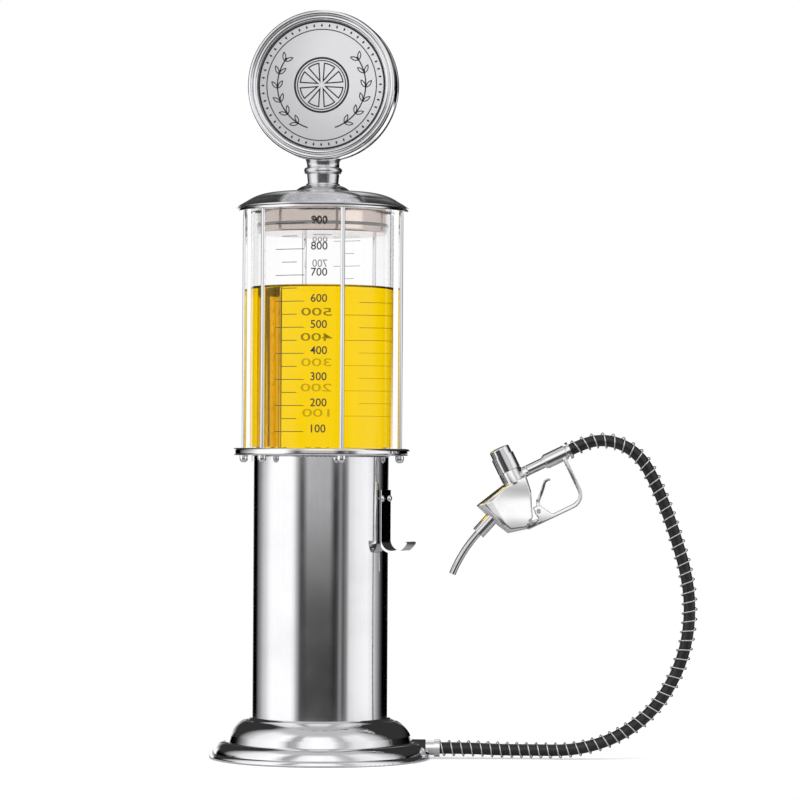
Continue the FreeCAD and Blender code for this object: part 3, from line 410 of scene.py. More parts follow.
def printed_ink(name, tint, cover=1.0, lower_cover=1.0):
    """Black screen-printed or engraved lines, slightly worn, whose cover can be thinner low on the canister."""
    material, shading = new_material(name)
    spot = shading.place()
    wear = shading.span(shading.noise(spot, 900.0, 4.0), 0.5, 0.85)
    whole = shading.span(shading.height(spot), FAINT_BELOW, FULL_ABOVE, lower_cover, cover)
    shading.surface(
        Base_Color=shading.blend(wear, tint, [part + 0.05 for part in tint]),
        Roughness=0.42 + wear * 0.2,
        Alpha=whole * (1.0 - wear * 0.15),
    )
    return material


def finish_mesh(name, bm, material, sharp=0.6):
    """Closes a bmesh into a piece at the origin, smooth but for its sharp edges."""
    mesh = bpy.data.meshes.new(name)
    bm.to_mesh(mesh)
    bm.free()
    mesh.shade_smooth()
    mesh.set_sharp_from_angle(angle=sharp)
    mesh.materials.append(material)
    piece = bpy.data.objects.new(name, mesh)
    bpy.context.scene.collection.objects.link(piece)
    return piece


def coat_nodes(nodes, material):
    """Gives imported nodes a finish."""
    for name in nodes:
        for slot in frame["nodes"][name].material_slots:
            slot.material = material


def node_mesh(node):
    """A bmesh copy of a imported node, in its place."""
    source = frame["nodes"][node]
    bm = bmesh.new()
    bm.from_mesh(source.data)
    bm.transform(source.matrix_world)
    return bm


def spun(bm, profile, steps):
    """Sweeps a line of (radius, height) points once round +Z."""
    points = [bm.verts.new((radius, 0.0, height)) for radius, height in profile]
    edges = [bm.edges.new(pair) for pair in zip(points, points[1:])]
    bmesh.ops.spin(
        bm, geom=points + edges, cent=(0, 0, 0), axis=(0, 0, 1), angle=2 * math.pi, steps=steps, use_merge=True
    )


class DispenserFinishes(bpy.types.PropertyGroup):
    """Colours of the metals and the rubber."""

    chrome: bpy.props.FloatVectorProperty(
        name="Chrome", description="Tint of the bright plating", subtype="COLOR", size=3,
        default=(0.87, 0.87, 0.89), min=0.0, max=1.0,
    )
    steel: bpy.props.FloatVectorProperty(
        name="Steel", description="Tint of the plain steel inside", subtype="COLOR", size=3,
        default=(0.45, 0.45, 0.46), min=0.0, max=1.0,
    )
    satin: bpy.props.FloatVectorProperty(
        name="Satin", description="Tint of the sign's plates", subtype="COLOR", size=3,
        default=(0.95, 0.94, 0.97), min=0.0, max=1.0,
    )
    rubber: bpy.props.FloatVectorProperty(
        name="Rubber", description="Colour of the rubber pieces", subtype="COLOR", size=3,
        default=(0.014, 0.014, 0.015), min=0.0, max=1.0,
    )


class DispenserDrink(bpy.types.PropertyGroup):
    """The drink in the canister."""

    tint: bpy.props.FloatVectorProperty(
        name="Drink", description="Tint of light that has passed through the drink", subtype="COLOR", size=3,
        default=(0.97, 0.65, 0.0), min=0.0, max=1.0,
    )
    level: bpy.props.FloatProperty(
        name="Level", description="Height of the drink's surface above the table", unit="LENGTH",
        default=0.3055, min=0.22, max=0.34,
    )
    wall: bpy.props.FloatProperty(
        name="Wall", description="Thickness of the canister's wall", unit="LENGTH",
        default=0.0035, min=0.001, max=0.01,
    )
    floor: bpy.props.FloatProperty(
        name="Floor", description="Thickness of the canister's floor", unit="LENGTH",
        default=0.002, min=0.001, max=0.01,
    )


class DispenserScale(bpy.types.PropertyGroup):
    """The printed scale on the canister."""

    ink: bpy.props.FloatVectorProperty(
        name="Ink", description="Colour of the printed lines and numbers", subtype="COLOR", size=3,
        default=(0.035, 0.03, 0.028), min=0.0, max=1.0,
    )
    first: bpy.props.FloatProperty(
        name="First Mark", description="Height of the mark for 100 ml", unit="LENGTH",
        default=0.2115, min=0.2, max=0.25,
    )
    back_lift: bpy.props.FloatProperty(
        name="Back Lift", description="How much higher the back's scale is printed", unit="LENGTH",
        default=0.011, min=-0.02, max=0.02,
    )
    back_turn: bpy.props.FloatProperty(
        name="Back Turn", description="The back scale's turn from the point behind the front's", subtype="ANGLE",
        default=0.086, min=-0.5, max=0.5,
    )
    step: bpy.props.FloatProperty(
        name="Step", description="Height between marks 100 ml apart", unit="LENGTH",
        default=0.0166, min=0.01, max=0.03,
    )
    figure: bpy.props.FloatProperty(
        name="Figure Height", description="Height of the numbers", unit="LENGTH",
        default=0.0052, min=0.002, max=0.01,
    )


class DispenserSign(bpy.types.PropertyGroup):
    """The engraved ornament on both faces of the sign."""

    line: bpy.props.FloatProperty(
        name="Line", description="Width of an engraved line", unit="LENGTH",
        default=0.0008, min=0.0001, max=0.002,
    )
    wheel: bpy.props.FloatProperty(
        name="Wheel", description="Outer radius of the fruit slice in the middle", unit="LENGTH",
        default=0.0175, min=0.005, max=0.03,
    )
    border: bpy.props.FloatProperty(
        name="Border", description="Radius of the engraved border line", unit="LENGTH",
        default=0.0412, min=0.03, max=0.0418,
    )
    turn: bpy.props.FloatProperty(
        name="Turn", description="The sign's turn about the neck, from facing the front", subtype="ANGLE",
        default=math.radians(6.0), min=-math.pi, max=math.pi,
    )


class DispenserHose(bpy.types.PropertyGroup):
    """The hose and the wire wound round it."""

    radius: bpy.props.FloatProperty(
        name="Hose Radius", description="Outer radius of the rubber hose", unit="LENGTH",
        default=0.0038, min=0.002, max=0.006,
    )
    wire: bpy.props.FloatProperty(
        name="Wire Radius", description="Radius of the wire", unit="LENGTH",
        default=0.00045, min=0.0002, max=0.001,
    )
    coil: bpy.props.FloatProperty(
        name="Coil Radius", description="Radius of the wire's turns, at the middle of the wire", unit="LENGTH",
        default=0.0051, min=0.003, max=0.008,
    )
    turns: bpy.props.IntProperty(
        name="Turns", description="Turns of wire along the hose", default=59, min=10, max=120,
    )
    turn: bpy.props.FloatProperty(
        name="Turn", description="Turn of the hose's plane from +X", subtype="ANGLE",
        default=math.radians(14.5), min=-math.pi, max=math.pi,
    )


class DispenserNozzle(bpy.types.PropertyGroup):
    """The plated castings of the nozzle."""

    plating: bpy.props.FloatVectorProperty(
        name="Plating", description="Tint of the castings' plating", subtype="COLOR", size=3,
        default=(0.87, 0.87, 0.88), min=0.0, max=1.0,
    )
    polish: bpy.props.FloatProperty(
        name="Roughness", description="Roughness of the plating", subtype="FACTOR",
        default=0.16, min=0.0, max=1.0,
    )


class DispenserStage(bpy.types.PropertyGroup):
    """The studio and its camera."""

    azimuth: bpy.props.FloatProperty(
        name="Azimuth", description="Turn of the camera round the object, from its front", subtype="ANGLE",
        default=math.radians(14.5), min=-math.pi, max=math.pi,
    )
    distance: bpy.props.FloatProperty(
        name="Distance", description="Camera's distance from the object's middle", unit="LENGTH",
        default=2.104, min=0.5, max=10.0,
    )
    height: bpy.props.FloatProperty(
        name="Height", description="Camera's height above the table", unit="LENGTH",
        default=0.19175, min=0.0, max=3.0,
    )
    sideways: bpy.props.FloatProperty(
        name="Sideways", description="Camera's step to its right of the object's middle", unit="LENGTH",
        default=0.0512, min=-1.0, max=1.0,
    )
    lens: bpy.props.FloatProperty(
        name="Lens", description="Focal length on a 36 mm sensor", unit="CAMERA",
        default=145.7, min=20.0, max=300.0,
    )
    lift: bpy.props.FloatProperty(
        name="Lift", description="Upward shift of the picture, as a share of its width", subtype="FACTOR",
        default=0.079, min=-0.5, max=0.5,
    )
    lean: bpy.props.FloatProperty(
        name="Lean", description="Camera's roll", subtype="ANGLE",
        default=math.radians(0.35), min=-0.2, max=0.2,
    )
    floor: bpy.props.FloatVectorProperty(
        name="Floor", description="Colour of the table", subtype="COLOR", size=3,
        default=(0.80, 0.80, 0.81), min=0.0, max=1.0,
    )
    reach: bpy.props.FloatProperty(
        name="Reach", description="Radius of the table's round top, which fades out towards it", unit="LENGTH",
        default=0.38, min=0.3, max=2.0,
    )


class DISPENSER_OT_finishes(bpy.types.Operator):
    """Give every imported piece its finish"""

    bl_idname = "dispenser.finishes"
    bl_label = "Finish the Packed Pieces"

    def execute(self, context):
        finishes = context.scene.dispenser_finishes
        chrome = tuple(finishes.chrome)
        steel = tuple(finishes.steel)
        # The neck's plating is the chrome's tint darkened, as painted shade.
        neck = [part * 0.82 for part in chrome]
        turned_lines, drawn_lines = (0.02, 0.02, 1.0), (1.0, 1.0, 0.02)
        # Centre of the pool of light painted on the sign's plates.
        painted_light_spot = (0.022, 0.0, (PLATE_LOW.z + PLATE_HIGH.z) / 2 + 0.016)
        for nodes, material in (
            (CHROME_NODES, mirror_chrome("bright_chrome", chrome, 0.035)),
            (("column_tube",), drawn_steel("column_polish", chrome, drawn_lines, 0.045)),
            (("lid_dome",), mirror_chrome("dome_chrome", chrome, 0.17)),
            (("neck_collar", "neck_post"), mirror_chrome("neck_chrome_painted_shade", neck, 0.18)),
            (("sign_front_plate", "sign_back_plate"), satin_plate("satin_silver_painted_light", tuple(finishes.satin), painted_light_spot)),
            (STEEL_NODES, plain_steel("turned_steel", steel, 0.25)),
            (SPRING_NODES, plain_steel("spring_steel", steel, 0.2)),
            (("ballast_weight",), cast_iron("cast_ballast", (0.12, 0.12, 0.12))),
            (RUBBER_NODES, matt_rubber("soft_rubber", tuple(finishes.rubber), 0.5)),
            (("sign_drum",), mirror_chrome("rim_chrome", chrome, 0.06)),
            # The liner's dark, warm tint is painted reflection and shade of the surroundings that it mirrors.
            (("lid_plug",), drawn_steel("liner_steel_painted_reflection", (0.58, 0.51, 0.46), turned_lines, 0.1)),
            (("lid_seal",), moulded_plastic("silicone", (0.40, 0.38, 0.36), 0.4)),
            (("canister",), clear_plastic("clear_acrylic", (0.995, 0.995, 1.0))),
            (("feed_tube",), moulded_plastic("feed_plastic", (0.72, 0.74, 0.72), 0.2)),
        ):
            coat_nodes(nodes, material)
        return {"FINISHED"}


def casting(node, body, material):
    """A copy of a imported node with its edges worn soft, in the node's place."""
    bm = node_mesh(node)
    bmesh.ops.remove_doubles(bm, verts=bm.verts, dist=WELD)
    piece = finish_mesh("cast_" + node, bm, material, sharp=math.pi)
    skin = piece.modifiers.new("skin", "REMESH")
    skin.mode = "VOXEL"
    skin.voxel_size = 0.35 * MM
    skin.use_smooth_shade = True
    worn = piece.modifiers.new("worn", "SMOOTH")
    worn.factor = 0.5
    worn.iterations = 9
    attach(piece, body)
    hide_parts(node)


def pressed_spring(material):
    """A copy of the button's spring that rides the nozzle in place of the imported one."""
    press = next(joint for joint in frame["joints"] if joint["name"] == "button_press")
    axis = Vector(press["axis"]).normalized()
    bm = node_mesh("button_spring")
    along = sorted((vert.co.dot(axis), tuple(vert.co)) for vert in bm.verts)
    height = along[-1][0] - along[0][0]
    piece = finish_mesh("return_spring", bm, material)
    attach(piece, "nozzle")
    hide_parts("button_spring")
    1.0 - max(press["range_m"]) / height
    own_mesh(piece)


class DISPENSER_OT_nozzle(bpy.types.Operator):
    """Make the nozzle's castings and the button's spring"""

    bl_idname = "dispenser.nozzle"
    bl_label = "Make the Nozzle"

    def execute(self, context):
        settings = context.scene.dispenser_nozzle
        for node, body, lean in CAST_NODES:
            chrome = cast_chrome("plated_" + node, tuple(settings.plating), settings.polish, lean)
            casting(node, body, chrome)
        steel = tuple(context.scene.dispenser_finishes.steel)
        pressed_spring(plain_steel("return_steel", steel, 0.2))
        return {"FINISHED"}


class DISPENSER_OT_drink(bpy.types.Operator):
    """Fill the canister"""

    bl_idname = "dispenser.drink"
    bl_label = "Fill the Canister"

    def execute(self, context):
        settings = context.scene.dispenser_drink
        clear = 0.3 * MM
        overlap = 0.04 * MM
        corner = 0.8 * MM
        floor = CANISTER_LOW.z + settings.floor
        edge = CANISTER_HIGH.x - settings.wall + overlap
        head, over_head = DRAIN_HIGH.x + clear, DRAIN_HIGH.z + clear
        rim = [(edge - inward * MM, settings.level - down * MM) for inward, down in MENISCUS]
        profile = [
            (0.0, over_head), (head, over_head), (head, floor), (edge - corner, floor), (edge, floor + corner),
            *rim, (0.0, rim[-1][1]),
        ]
        bm = bmesh.new()
        spun(bm, profile, 128)
        bmesh.ops.remove_doubles(bm, verts=bm.verts, dist=WELD)
        bmesh.ops.recalc_face_normals(bm, faces=bm.faces)
        drink = finish_mesh("drink", bm, drink_liquid("yellow_drink", tuple(settings.tint)))
        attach(drink, "root")
        return {"FINISHED"}


def wrap_round(bm, radius, turn):
    """Bends flat print round the canister: x runs along the arc, y up, z outwards, and turn is from the front."""
    for vert in bm.verts:
        angle = turn + vert.co.x / radius
        out = radius + vert.co.z
        vert.co = (out * math.sin(angle), -out * math.cos(angle), vert.co.y)


def slice_upright(bm, reach, step):
    """Cuts a flat shape along upright lines, out to a reach each side of its middle, so that it can bend."""
    for index in range(1, int(2 * reach / step) + 1):
        everything = bm.verts[:] + bm.edges[:] + bm.faces[:]
        bmesh.ops.bisect_plane(bm, geom=everything, plane_co=(index * step - reach, 0, 0), plane_no=(1, 0, 0))


def thicken(bm, depth):
    """Raises flat faces by a depth along +Z, with walls all round and the underside closed."""
    grown = bmesh.ops.extrude_face_region(bm, geom=bm.faces[:], use_keep_orig=True)
    raised = [item for item in grown["geom"] if isinstance(item, bmesh.types.BMVert)]
    bmesh.ops.translate(bm, verts=raised, vec=(0, 0, depth))
    bmesh.ops.recalc_face_normals(bm, faces=bm.faces)


def figure_mesh(body, height):
    """Flat mesh of a number, its middle at the origin."""
    text = bpy.data.curves.new("figure", "FONT")
    text.body = body
    text.size = 1.0
    text.offset = NUMBER_WEIGHT
    text.align_x = "CENTER"
    text.align_y = "CENTER"
    text.resolution_u = 4
    holder = bpy.data.objects.new("figure", text)
    bpy.context.scene.collection.objects.link(holder)
    bpy.context.view_layer.update()
    mesh = bpy.data.meshes.new_from_object(holder)
    bpy.data.objects.remove(holder)
    bm = bmesh.new()
    bm.from_mesh(mesh)
    bpy.data.meshes.remove(mesh)
    bmesh.ops.remove_doubles(bm, verts=bm.verts, dist=1e-4)
    lows = [min(vert.co[axis] for vert in bm.verts) for axis in (0, 1)]
    highs = [max(vert.co[axis] for vert in bm.verts) for axis in (0, 1)]
    middle = [(low + high) / 2 for low, high in zip(lows, highs)]
    bmesh.ops.translate(bm, verts=bm.verts, vec=(-middle[0], -middle[1], 0))
    scale = height / (highs[1] - lows[1])
    bmesh.ops.scale(bm, verts=bm.verts, vec=(scale, scale, scale))
    return bm


def add_bmesh(target, source):
    """Joins one bmesh into another."""
    carrier = bpy.data.meshes.new("carrier")
    source.to_mesh(carrier)
    source.free()
    target.from_mesh(carrier)
    bpy.data.meshes.remove(carrier)


def print_scale(name, settings, first, turn, material):
    """Numbers and tick marks from 100 to 900 ml, printed on the canister's outside from a first height up."""
    scale = bmesh.new()
    for index in range(MARKS):
        amount = 100 + 50 * index
        height = first + index * settings.step / 2
        whole = amount % 100 == 0
        left, right = LONG_MARK if whole else SHORT_MARK
        tick = bmesh.new()
        bmesh.ops.create_grid(tick, x_segments=12, y_segments=1, size=0.5)
        bmesh.ops.scale(tick, verts=tick.verts, vec=(right - left, MARK_WIDTH, 1))
        bmesh.ops.translate(tick, verts=tick.verts, vec=((left + right) / 2, height, INK_LIFT))
        thicken(tick, INK_DEPTH)
        add_bmesh(scale, tick)
        if whole:
            number = figure_mesh(str(amount), settings.figure)
            slice_upright(number, NUMBER_REACH, 0.8 * MM)
            bmesh.ops.translate(number, verts=number.verts, vec=(NUMBER_ACROSS, height + NUMBER_RISE, INK_LIFT))
            thicken(number, INK_DEPTH)
            add_bmesh(scale, number)
    wrap_round(scale, CANISTER_HIGH.x, turn)
    piece = finish_mesh(name, scale, material)
    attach(piece, "root")


class DISPENSER_OT_scale(bpy.types.Operator):
    """Print the scale on the canister's front and back"""

    bl_idname = "dispenser.scale"
    bl_label = "Print the Scale"

    def execute(self, context):
        settings = context.scene.dispenser_scale
        ink = printed_ink("scale_ink", tuple(settings.ink))
        print_scale("scale_front", settings, settings.first, 0.0, ink)
        thin_ink = printed_ink("thin_ink", tuple(settings.ink), 0.5, 0.26)
        behind = math.pi + settings.back_turn
        print_scale("scale_back", settings, settings.first + settings.back_lift, behind, thin_ink)
        return {"FINISHED"}


def outlined(bm, points, width):
    """Adds a flat closed line of a width that follows points."""
    face = bm.faces.new([bm.verts.new((x, y, 0)) for x, y in points])
    face.normal_update()
    if face.normal.z < 0:
        face.normal_flip()
    bmesh.ops.inset_region(bm, faces=[face], thickness=width, use_even_offset=True, use_boundary=True)
    bmesh.ops.delete(bm, geom=[face], context="FACES_ONLY")


def filled(bm, points):
    bm.faces.new([bm.verts.new((x, y, 0)) for x, y in points])


def turned(points, angle, centre=(0.0, 0.0)):
    """Points turned about the origin and then moved."""
    cosine, sine = math.cos(angle), math.sin(angle)
    return [(x * cosine - y * sine + centre[0], x * sine + y * cosine + centre[1]) for x, y in points]


def on_circle(radius, angle):
    return (radius * math.cos(angle), radius * math.sin(angle))


def arc_points(radius, start, end, count):
    return [on_circle(radius, start + (end - start) * index / count) for index in range(count + 1)]


def circle_line(bm, radius, width, steps=96):
    """A flat ring line."""
    spun(bm, ((radius - width / 2, 0.0), (radius + width / 2, 0.0)), steps)


def leaf_points(length, width, count=9):
    """A pointed leaf along +X from the origin."""
    upper = [(length * i / count, width / 2 * math.sin(math.pi * i / count) ** 0.8) for i in range(1, count)]
    lower = [(x, -y) for x, y in reversed(upper)]
    return [(0.0, 0.0)] + upper + [(length, 0.0)] + lower


def fruit_slice(bm, radius, line):
    """A slice of citrus: rind, pith and eight rounded segments."""
    rind, pith, core = 1.7 * MM, 3.0 * MM, 1.6 * MM
    half = math.pi / 8 - 0.10
    circle_line(bm, radius, HEAVY * line)
    circle_line(bm, radius - rind, LIGHT * line)
    for index in range(8):
        middle = index * math.pi / 4 + math.pi / 8
        outer = arc_points(radius - pith, middle - half, middle + half, 7)
        outlined(bm, outer + [on_circle(core, middle)], line)


def sprig(bm, line, side):
    """A stem with paired leaves that curves up one side of the slice."""
    reach = 29.0 * MM
    leaf = leaf_points(6.4 * MM, 2.6 * MM)
    start, end = math.radians(-72), math.radians(38)
    stem = [(x * side, y) for x, y in arc_points(reach, start, end, 24)]
    for near, far in zip(stem, stem[1:]):
        along = Vector((far[0] - near[0], far[1] - near[1])).normalized()
        off = Vector((-along.y, along.x)) * 0.5 * line
        filled(bm, [
            (near[0] + off.x, near[1] + off.y), (near[0] - off.x, near[1] - off.y),
            (far[0] - off.x, far[1] - off.y), (far[0] + off.x, far[1] + off.y),
        ])
    for index in range(6):
        angle = start + (end - start) * (index + 0.7) / 6
        out, up = on_circle(reach, angle)
        for lean in (-0.62, 0.62):
            outlined(bm, turned(leaf, math.pi / 2 + angle * side + lean, (out * side, up)), LIGHT * line)


def diamonds(bm, radius, count, size):
    """Small diamonds in a ring."""
    shape = [(size, 0), (0, 0.55 * size), (-size, 0), (0, -0.55 * size)]
    for index in range(count):
        angle = 2 * math.pi * index / count
        filled(bm, turned(shape, angle, on_circle(radius, angle)))


def ornament(facing, settings, material):
    """The engraved ornament, laid on the outer face of the sign's front or back plate."""
    band = 5.2 * MM
    bm = bmesh.new()
    circle_line(bm, settings.border, HEAVY * settings.line, 160)
    circle_line(bm, settings.border - band, LIGHT * settings.line, 128)
    diamonds(bm, settings.border - band / 2, 48, 1.25 * MM)
    fruit_slice(bm, settings.wheel, settings.line)
    sprig(bm, settings.line, 1)
    sprig(bm, settings.line, -1)
    thicken(bm, 0.06 * MM)
    reach = (PLATE_HIGH.z - PLATE_LOW.z) / 2
    depth = (-PLATE_LOW.y - reach * math.sin(settings.turn)) / math.cos(settings.turn)
    heading = settings.turn if facing == "front" else settings.turn + math.pi
    place = (
        Matrix.Translation((0, 0, PLATE_LOW.z + reach))
        @ Matrix.Rotation(heading, 4, "Z")
        @ Matrix.Translation((0, -depth - 0.01 * MM, 0))
        @ Matrix.Rotation(math.pi / 2, 4, "X")
    )
    bmesh.ops.transform(bm, matrix=place, verts=bm.verts)
    piece = finish_mesh("ornament_" + facing, bm, material)
    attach(piece, "lid")


class DISPENSER_OT_sign(bpy.types.Operator):
    """Engrave the ornament on both faces of the sign"""

    bl_idname = "dispenser.sign"
    bl_label = "Engrave the Sign"

    def execute(self, context):
        settings = context.scene.dispenser_sign
        ink = printed_ink("engraved_black", (0.015, 0.015, 0.018))
        ornament("front", settings, ink)
        ornament("back", settings, ink)
        return {"FINISHED"}


def hose_points(turn):
    """The route turned out of its upright plane."""
    return [
        Vector((
            out * math.cos(turn) + across * math.sin(turn),
            out * math.sin(turn) - across * math.cos(turn),
            up,
        ))
        for out, across, up in HOSE_ROUTE
    ]


def route_curve(name, points, radius, material):
    """A round tube on one smooth open spline whose control points are given."""
    curve = bpy.data.curves.new(name, "CURVE")
    curve.dimensions = "3D"
    curve.resolution_u = 12
    curve.use_fill_caps = True
    spline = curve.splines.new("NURBS")
    spline.points.add(len(points) - 1)
    for place, point in zip(spline.points, points):
        place.co = (*point, 1.0)
    spline.order_u = 3
    spline.use_endpoint_u = True
    piece = bpy.data.objects.new(name, curve)
    bpy.context.scene.collection.objects.link(piece)
    bpy.context.view_layer.update()
    line = bpy.data.meshes.new_from_object(piece)
    walked = [vert.co.copy() for vert in line.vertices]
    bpy.data.meshes.remove(line)
    curve.bevel_depth = radius
    curve.bevel_resolution = 7
    curve.materials.append(material)
    return piece, walked


def wound_points(walked, coil, turns, per_turn):
    """Points of a helix round a walked line, with the frame carried along it without twist."""
    lengths = [0.0]
    for near, far in zip(walked, walked[1:]):
        lengths.append(lengths[-1] + (far - near).length)
    total = lengths[-1]
    wound = []
    across = Vector((0, 0, 1))
    heading = (walked[1] - walked[0]).normalized()
    index = 0
    for step in range(turns * per_turn + 1):
        share = total * step / (turns * per_turn)
        while index < len(walked) - 2 and lengths[index + 1] < share:
            index += 1
            ahead = (walked[index + 1] - walked[index]).normalized()
            across = heading.rotation_difference(ahead) @ across
            heading = ahead
        part = (share - lengths[index]) / (lengths[index + 1] - lengths[index])
        middle = walked[index].lerp(walked[index + 1], part)
        spin = Quaternion(heading, 2 * math.pi * step / per_turn)
        wound.append(middle + spin @ (across - heading * across.dot(heading)).normalized() * coil)
    return wound


class DISPENSER_OT_hose(bpy.types.Operator):
    """Lay the hose and wind its wire"""

    bl_idname = "dispenser.hose"
    bl_label = "Lay the Hose"

    def execute(self, context):
        settings = context.scene.dispenser_hose
        rubber = matt_rubber("hose_rubber", (0.010, 0.010, 0.011), 0.3)
        points = hose_points(settings.turn)
        hose, walked = route_curve("hose", points, settings.radius, rubber)
        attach(hose, "root")
        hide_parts("hose_tube")

        wire_chrome = mirror_chrome("wire_chrome", (0.80, 0.80, 0.82), 0.05)
        wound = wound_points(walked, settings.coil, settings.turns, 12)
        wire, _ = route_curve("hose_winding", wound, settings.wire, wire_chrome)
        wire.data.bevel_resolution = 2
        wire.data.resolution_u = 2
        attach(wire, "root")
        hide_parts("hose_wire")

        return {"FINISHED"}


def floor_material(tint, radius):
    """The table: it takes shadows, shows white to the camera and grey in mirrors, and fades out at its edge."""
    material, shading = new_material("table_white")
    seen, mirrored = shading.rays()
    shade = shading.blend(mirrored, tint, [part * 0.55 for part in tint])
    base = shading.add("ShaderNodeBsdfDiffuse", inputs={"Color": shade, "Roughness": 0.0})
    glow = shading.add("ShaderNodeEmission", inputs={"Color": colour(1.0), "Strength": seen * 0.34})
    both = shading.add("ShaderNodeAddShader", inputs={0: base, 1: glow})
    spot = shading.add("ShaderNodeTexCoord", output="Object")
    away = shading.add("ShaderNodeVectorMath", {"operation": "LENGTH"}, {0: spot}, output=1)
    fade = shading.span(away, 0.7 * radius, radius)
    clear = shading.add("ShaderNodeBsdfTransparent")
    faded = shading.add("ShaderNodeMixShader", inputs={0: fade, 1: both, 2: clear})
    shading.add("ShaderNodeOutputMaterial", inputs={"Surface": faded})
    return material


def studio_world(azimuth):
    """A white sweep, tall black flags at its two ends, soft boxes at the sides and a dim room at the front."""
    world = bpy.data.worlds.new("studio")
    bpy.context.scene.world = world
    shading = Shading(world)
    ray = shading.add("ShaderNodeTexCoord", output="Generated")
    turned_ray = shading.add(
        "ShaderNodeMapping", {"vector_type": "VECTOR"}, {"Vector": ray, "Rotation": (0.0, 0.0, -azimuth)}
    )
    x = shading.add("ShaderNodeSeparateXYZ", inputs={"Vector": turned_ray}, output="X")
    y, z = (Signal(shading, x.socket.node.outputs[name]) for name in "YZ")
    round_it = x.maths("ARCTAN2", x, y * -1.0) / (2 * math.pi) + 0.5

    def ramp(*stops):
        """Grey levels at bearings in degrees from the camera, positive to its right."""
        placed = tuple((0.5 + bearing / 360.0, level) for bearing, level in stops)
        return shading.add("ShaderNodeValToRGB", {"stops": placed}, {"Fac": round_it})

    def rise(start, end):
        """A mask that goes from 0 to 1 between two elevations in degrees."""
        return shading.span(z, math.sin(math.radians(start)), math.sin(math.radians(end)))

    # What the column shows, a little below the horizon, and the lit part of the room in front
    low = ramp(
        (-180, 1.0), (-149, 1.0), (-144, 0.0), (-129, 0.0), (-123, 0.15), (-115, 0.31),
        (-107, 0.54), (-99, 0.69), (-92, 0.91), (-85, 1.0), (-48, 1.0), (-43, 0.83), (-38, 0.42), (-32, 0.08),
        (-24, 0.045), (24, 0.03), (29, 0.055), (34, 0.25), (39, 0.075), (45, 0.24), (50, 0.70), (62, 0.83),
        (84, 0.92), (94, 0.81), (102, 0.56), (110, 0.27), (120, 0.05), (126, 0.0), (147, 0.0), (152, 1.0),
    )
    window = ramp((-180, 0.0), (-28, 0.0), (-20, 1.0), (16, 1.0), (24, 0.0))
    # A little above the horizon, then high up, straight behind and down on the ground
    middle = ramp(
        (-180, 1.0), (-149, 1.0), (-144, 0.0), (-104, 0.0), (-95, 0.5), (-84, 0.95), (-45, 1.0),
        (-30, 0.8), (-10, 0.6), (20, 0.5), (35, 0.55), (50, 0.8), (62, 0.9), (80, 0.92), (90, 0.65),
        (98, 0.12), (105, 0.0), (166, 0.0), (170, 1.0),
    )
    high = ramp(
        (-166, 0.03), (-128, 0.03), (-116, 0.35), (-95, 0.8), (-55, 1.0), (-46, 0.75), (-39, 0.35), (-30, 0.4),
        (-22, 0.85), (-5, 1.0), (18, 0.95), (28, 0.55), (36, 0.45), (48, 0.75), (70, 0.85), (92, 0.5),
        (108, 0.03), (166, 0.03),
    )
    behind = ramp((-180, 1.0), (-172, 1.0), (-166, 0.0), (166, 0.0), (172, 1.0))
    ground = ramp(
        (-104, 0.04), (-94, 0.75), (-54, 0.9), (-44, 0.07), (44, 0.07), (56, 0.5), (88, 0.5), (98, 0.04),
    )
    front = low + window * (rise(-2.6, -0.2) * 0.34 + rise(-5.0, -1.5) * 0.06)
    footing = shading.blend(rise(-13, -7), ground, front)
    walls = shading.blend(rise(-0.2, 2.5), footing, middle)
    sides = shading.blend(rise(5, 18), walls, high)
    sweep = 1.0 - rise(4, 9) * 0.95 + rise(19, 34) * 0.55 + rise(30, 46) * 0.4
    room = shading.blend(behind, sides, sweep)
    ceiling, brightness = 0.48, 1.18
    mirrored = shading.blend(rise(54, 70), room, ceiling) * brightness

    seen, glossy = shading.rays()
    shown = shading.blend(seen, shading.blend(glossy, 0.62, mirrored), 1.0)
    back = shading.add("ShaderNodeBackground", inputs={"Color": shown, "Strength": 1.0})
    shading.add("ShaderNodeOutputWorld", inputs={"Surface": back})


def sun(name, strength, spread, azimuth, elevation):
    """A broad soft lamp that mirrors don't show: azimuth is from the front towards +X."""
    lamp = bpy.data.lights.new(name, "SUN")
    lamp.energy = strength
    lamp.angle = spread
    holder = bpy.data.objects.new(name, lamp)
    flat = math.cos(elevation)
    towards = Vector((flat * math.sin(azimuth), -flat * math.cos(azimuth), math.sin(elevation)))
    holder.rotation_mode = "QUATERNION"
    holder.rotation_quaternion = towards.to_track_quat("Z", "Y")
    holder.visible_glossy = False
    bpy.context.scene.collection.objects.link(holder)


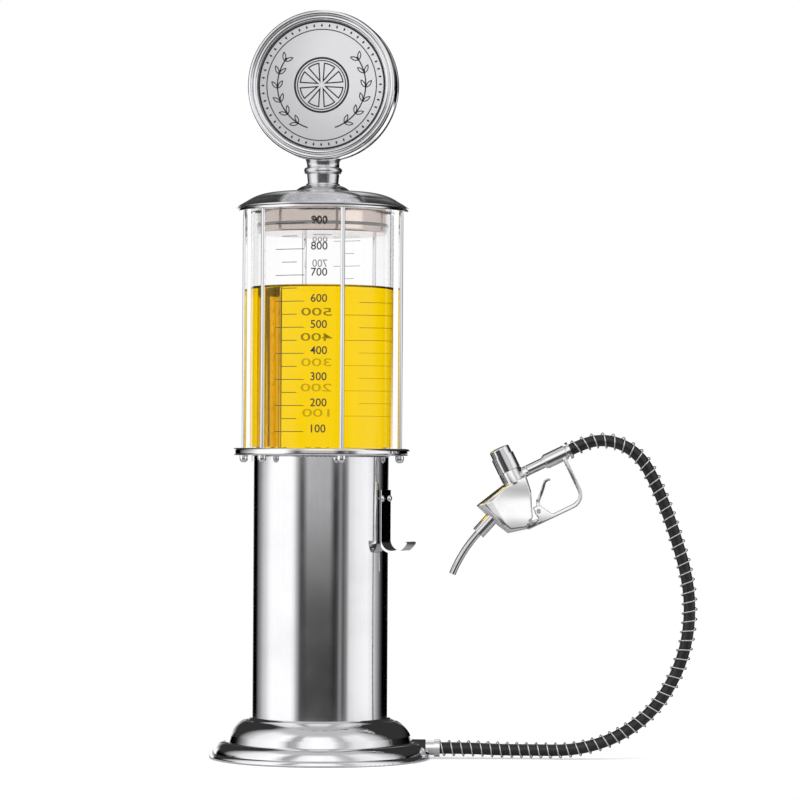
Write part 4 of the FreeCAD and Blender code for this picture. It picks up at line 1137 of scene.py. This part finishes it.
class DISPENSER_OT_stage(bpy.types.Operator):
    """Set the table, the studio light and the camera"""

    bl_idname = "dispenser.stage"
    bl_label = "Set the Stage"

    def execute(self, context):
        scene = context.scene
        settings = scene.dispenser_stage
        azimuth = settings.azimuth
        right = Vector((math.cos(azimuth), math.sin(azimuth), 0))
        away = Vector((-math.sin(azimuth), math.cos(azimuth), 0))

        bm = bmesh.new()
        bmesh.ops.create_circle(bm, cap_ends=True, segments=96, radius=settings.reach)
        table = finish_mesh("table_top", bm, floor_material(tuple(settings.floor), settings.reach))

        studio_world(azimuth)
        sun("key_lamp", 1.5, math.radians(50), azimuth - math.radians(48), math.radians(48))
        sun("fill_lamp", 0.6, math.radians(70), azimuth + math.radians(55), math.radians(35))

        lens = bpy.data.cameras.new("camera")
        lens.lens = settings.lens
        lens.sensor_width = 36.0
        lens.shift_y = settings.lift
        lens.clip_start = 0.05
        lens.clip_end = 50.0
        camera = bpy.data.objects.new("camera", lens)
        spot = -away * settings.distance + right * settings.sideways
        camera.location = (spot.x, spot.y, settings.height)
        camera.rotation_mode = "QUATERNION"
        level = away.to_track_quat("-Z", "Y")
        camera.rotation_quaternion = Quaternion(away, -settings.lean) @ level
        scene.collection.objects.link(camera)
        scene.camera = camera
        scene.view_settings.view_transform = "Standard"
        return {"FINISHED"}


class DISPENSER_PT_panel(bpy.types.Panel):
    """Sizes and colours of the dispenser, and the steps that make its looks"""

    bl_label = "Drinks Dispenser"
    bl_space_type = "VIEW_3D"
    bl_region_type = "UI"
    bl_category = "Dispenser"

    def draw(self, context):
        for group, operator in STEPS:
            box = self.layout.box()
            settings = getattr(context.scene, group)
            for name in settings.bl_rna.properties.keys():
                if name not in ("rna_type", "name"):
                    box.prop(settings, name)
            box.operator(operator)


GROUPS = {
    "dispenser_finishes": DispenserFinishes,
    "dispenser_drink": DispenserDrink,
    "dispenser_scale": DispenserScale,
    "dispenser_sign": DispenserSign,
    "dispenser_hose": DispenserHose,
    "dispenser_nozzle": DispenserNozzle,
    "dispenser_stage": DispenserStage,
}
OPERATORS = (
    DISPENSER_OT_finishes,
    DISPENSER_OT_drink,
    DISPENSER_OT_scale,
    DISPENSER_OT_sign,
    DISPENSER_OT_hose,
    DISPENSER_OT_nozzle,
    DISPENSER_OT_stage,
)
STEPS = tuple(zip(GROUPS, (operator.bl_idname for operator in OPERATORS)))
CLASSES = (*GROUPS.values(), *OPERATORS, DISPENSER_PT_panel)


def register():
    for entry in CLASSES:
        bpy.utils.register_class(entry)
    for name, group in GROUPS.items():
        setattr(bpy.types.Scene, name, bpy.props.PointerProperty(type=group))


def unregister():
    for name in GROUPS:
        delattr(bpy.types.Scene, name)
    for entry in reversed(CLASSES):
        bpy.utils.unregister_class(entry)


def main():
    register()
    bpy.ops.dispenser.stage()
    bpy.ops.dispenser.hose()
    bpy.ops.dispenser.nozzle()
    bpy.ops.dispenser.finishes()
    bpy.ops.dispenser.drink()
    bpy.ops.dispenser.scale()
    bpy.ops.dispenser.sign()


if __name__ == "__main__":
    main()
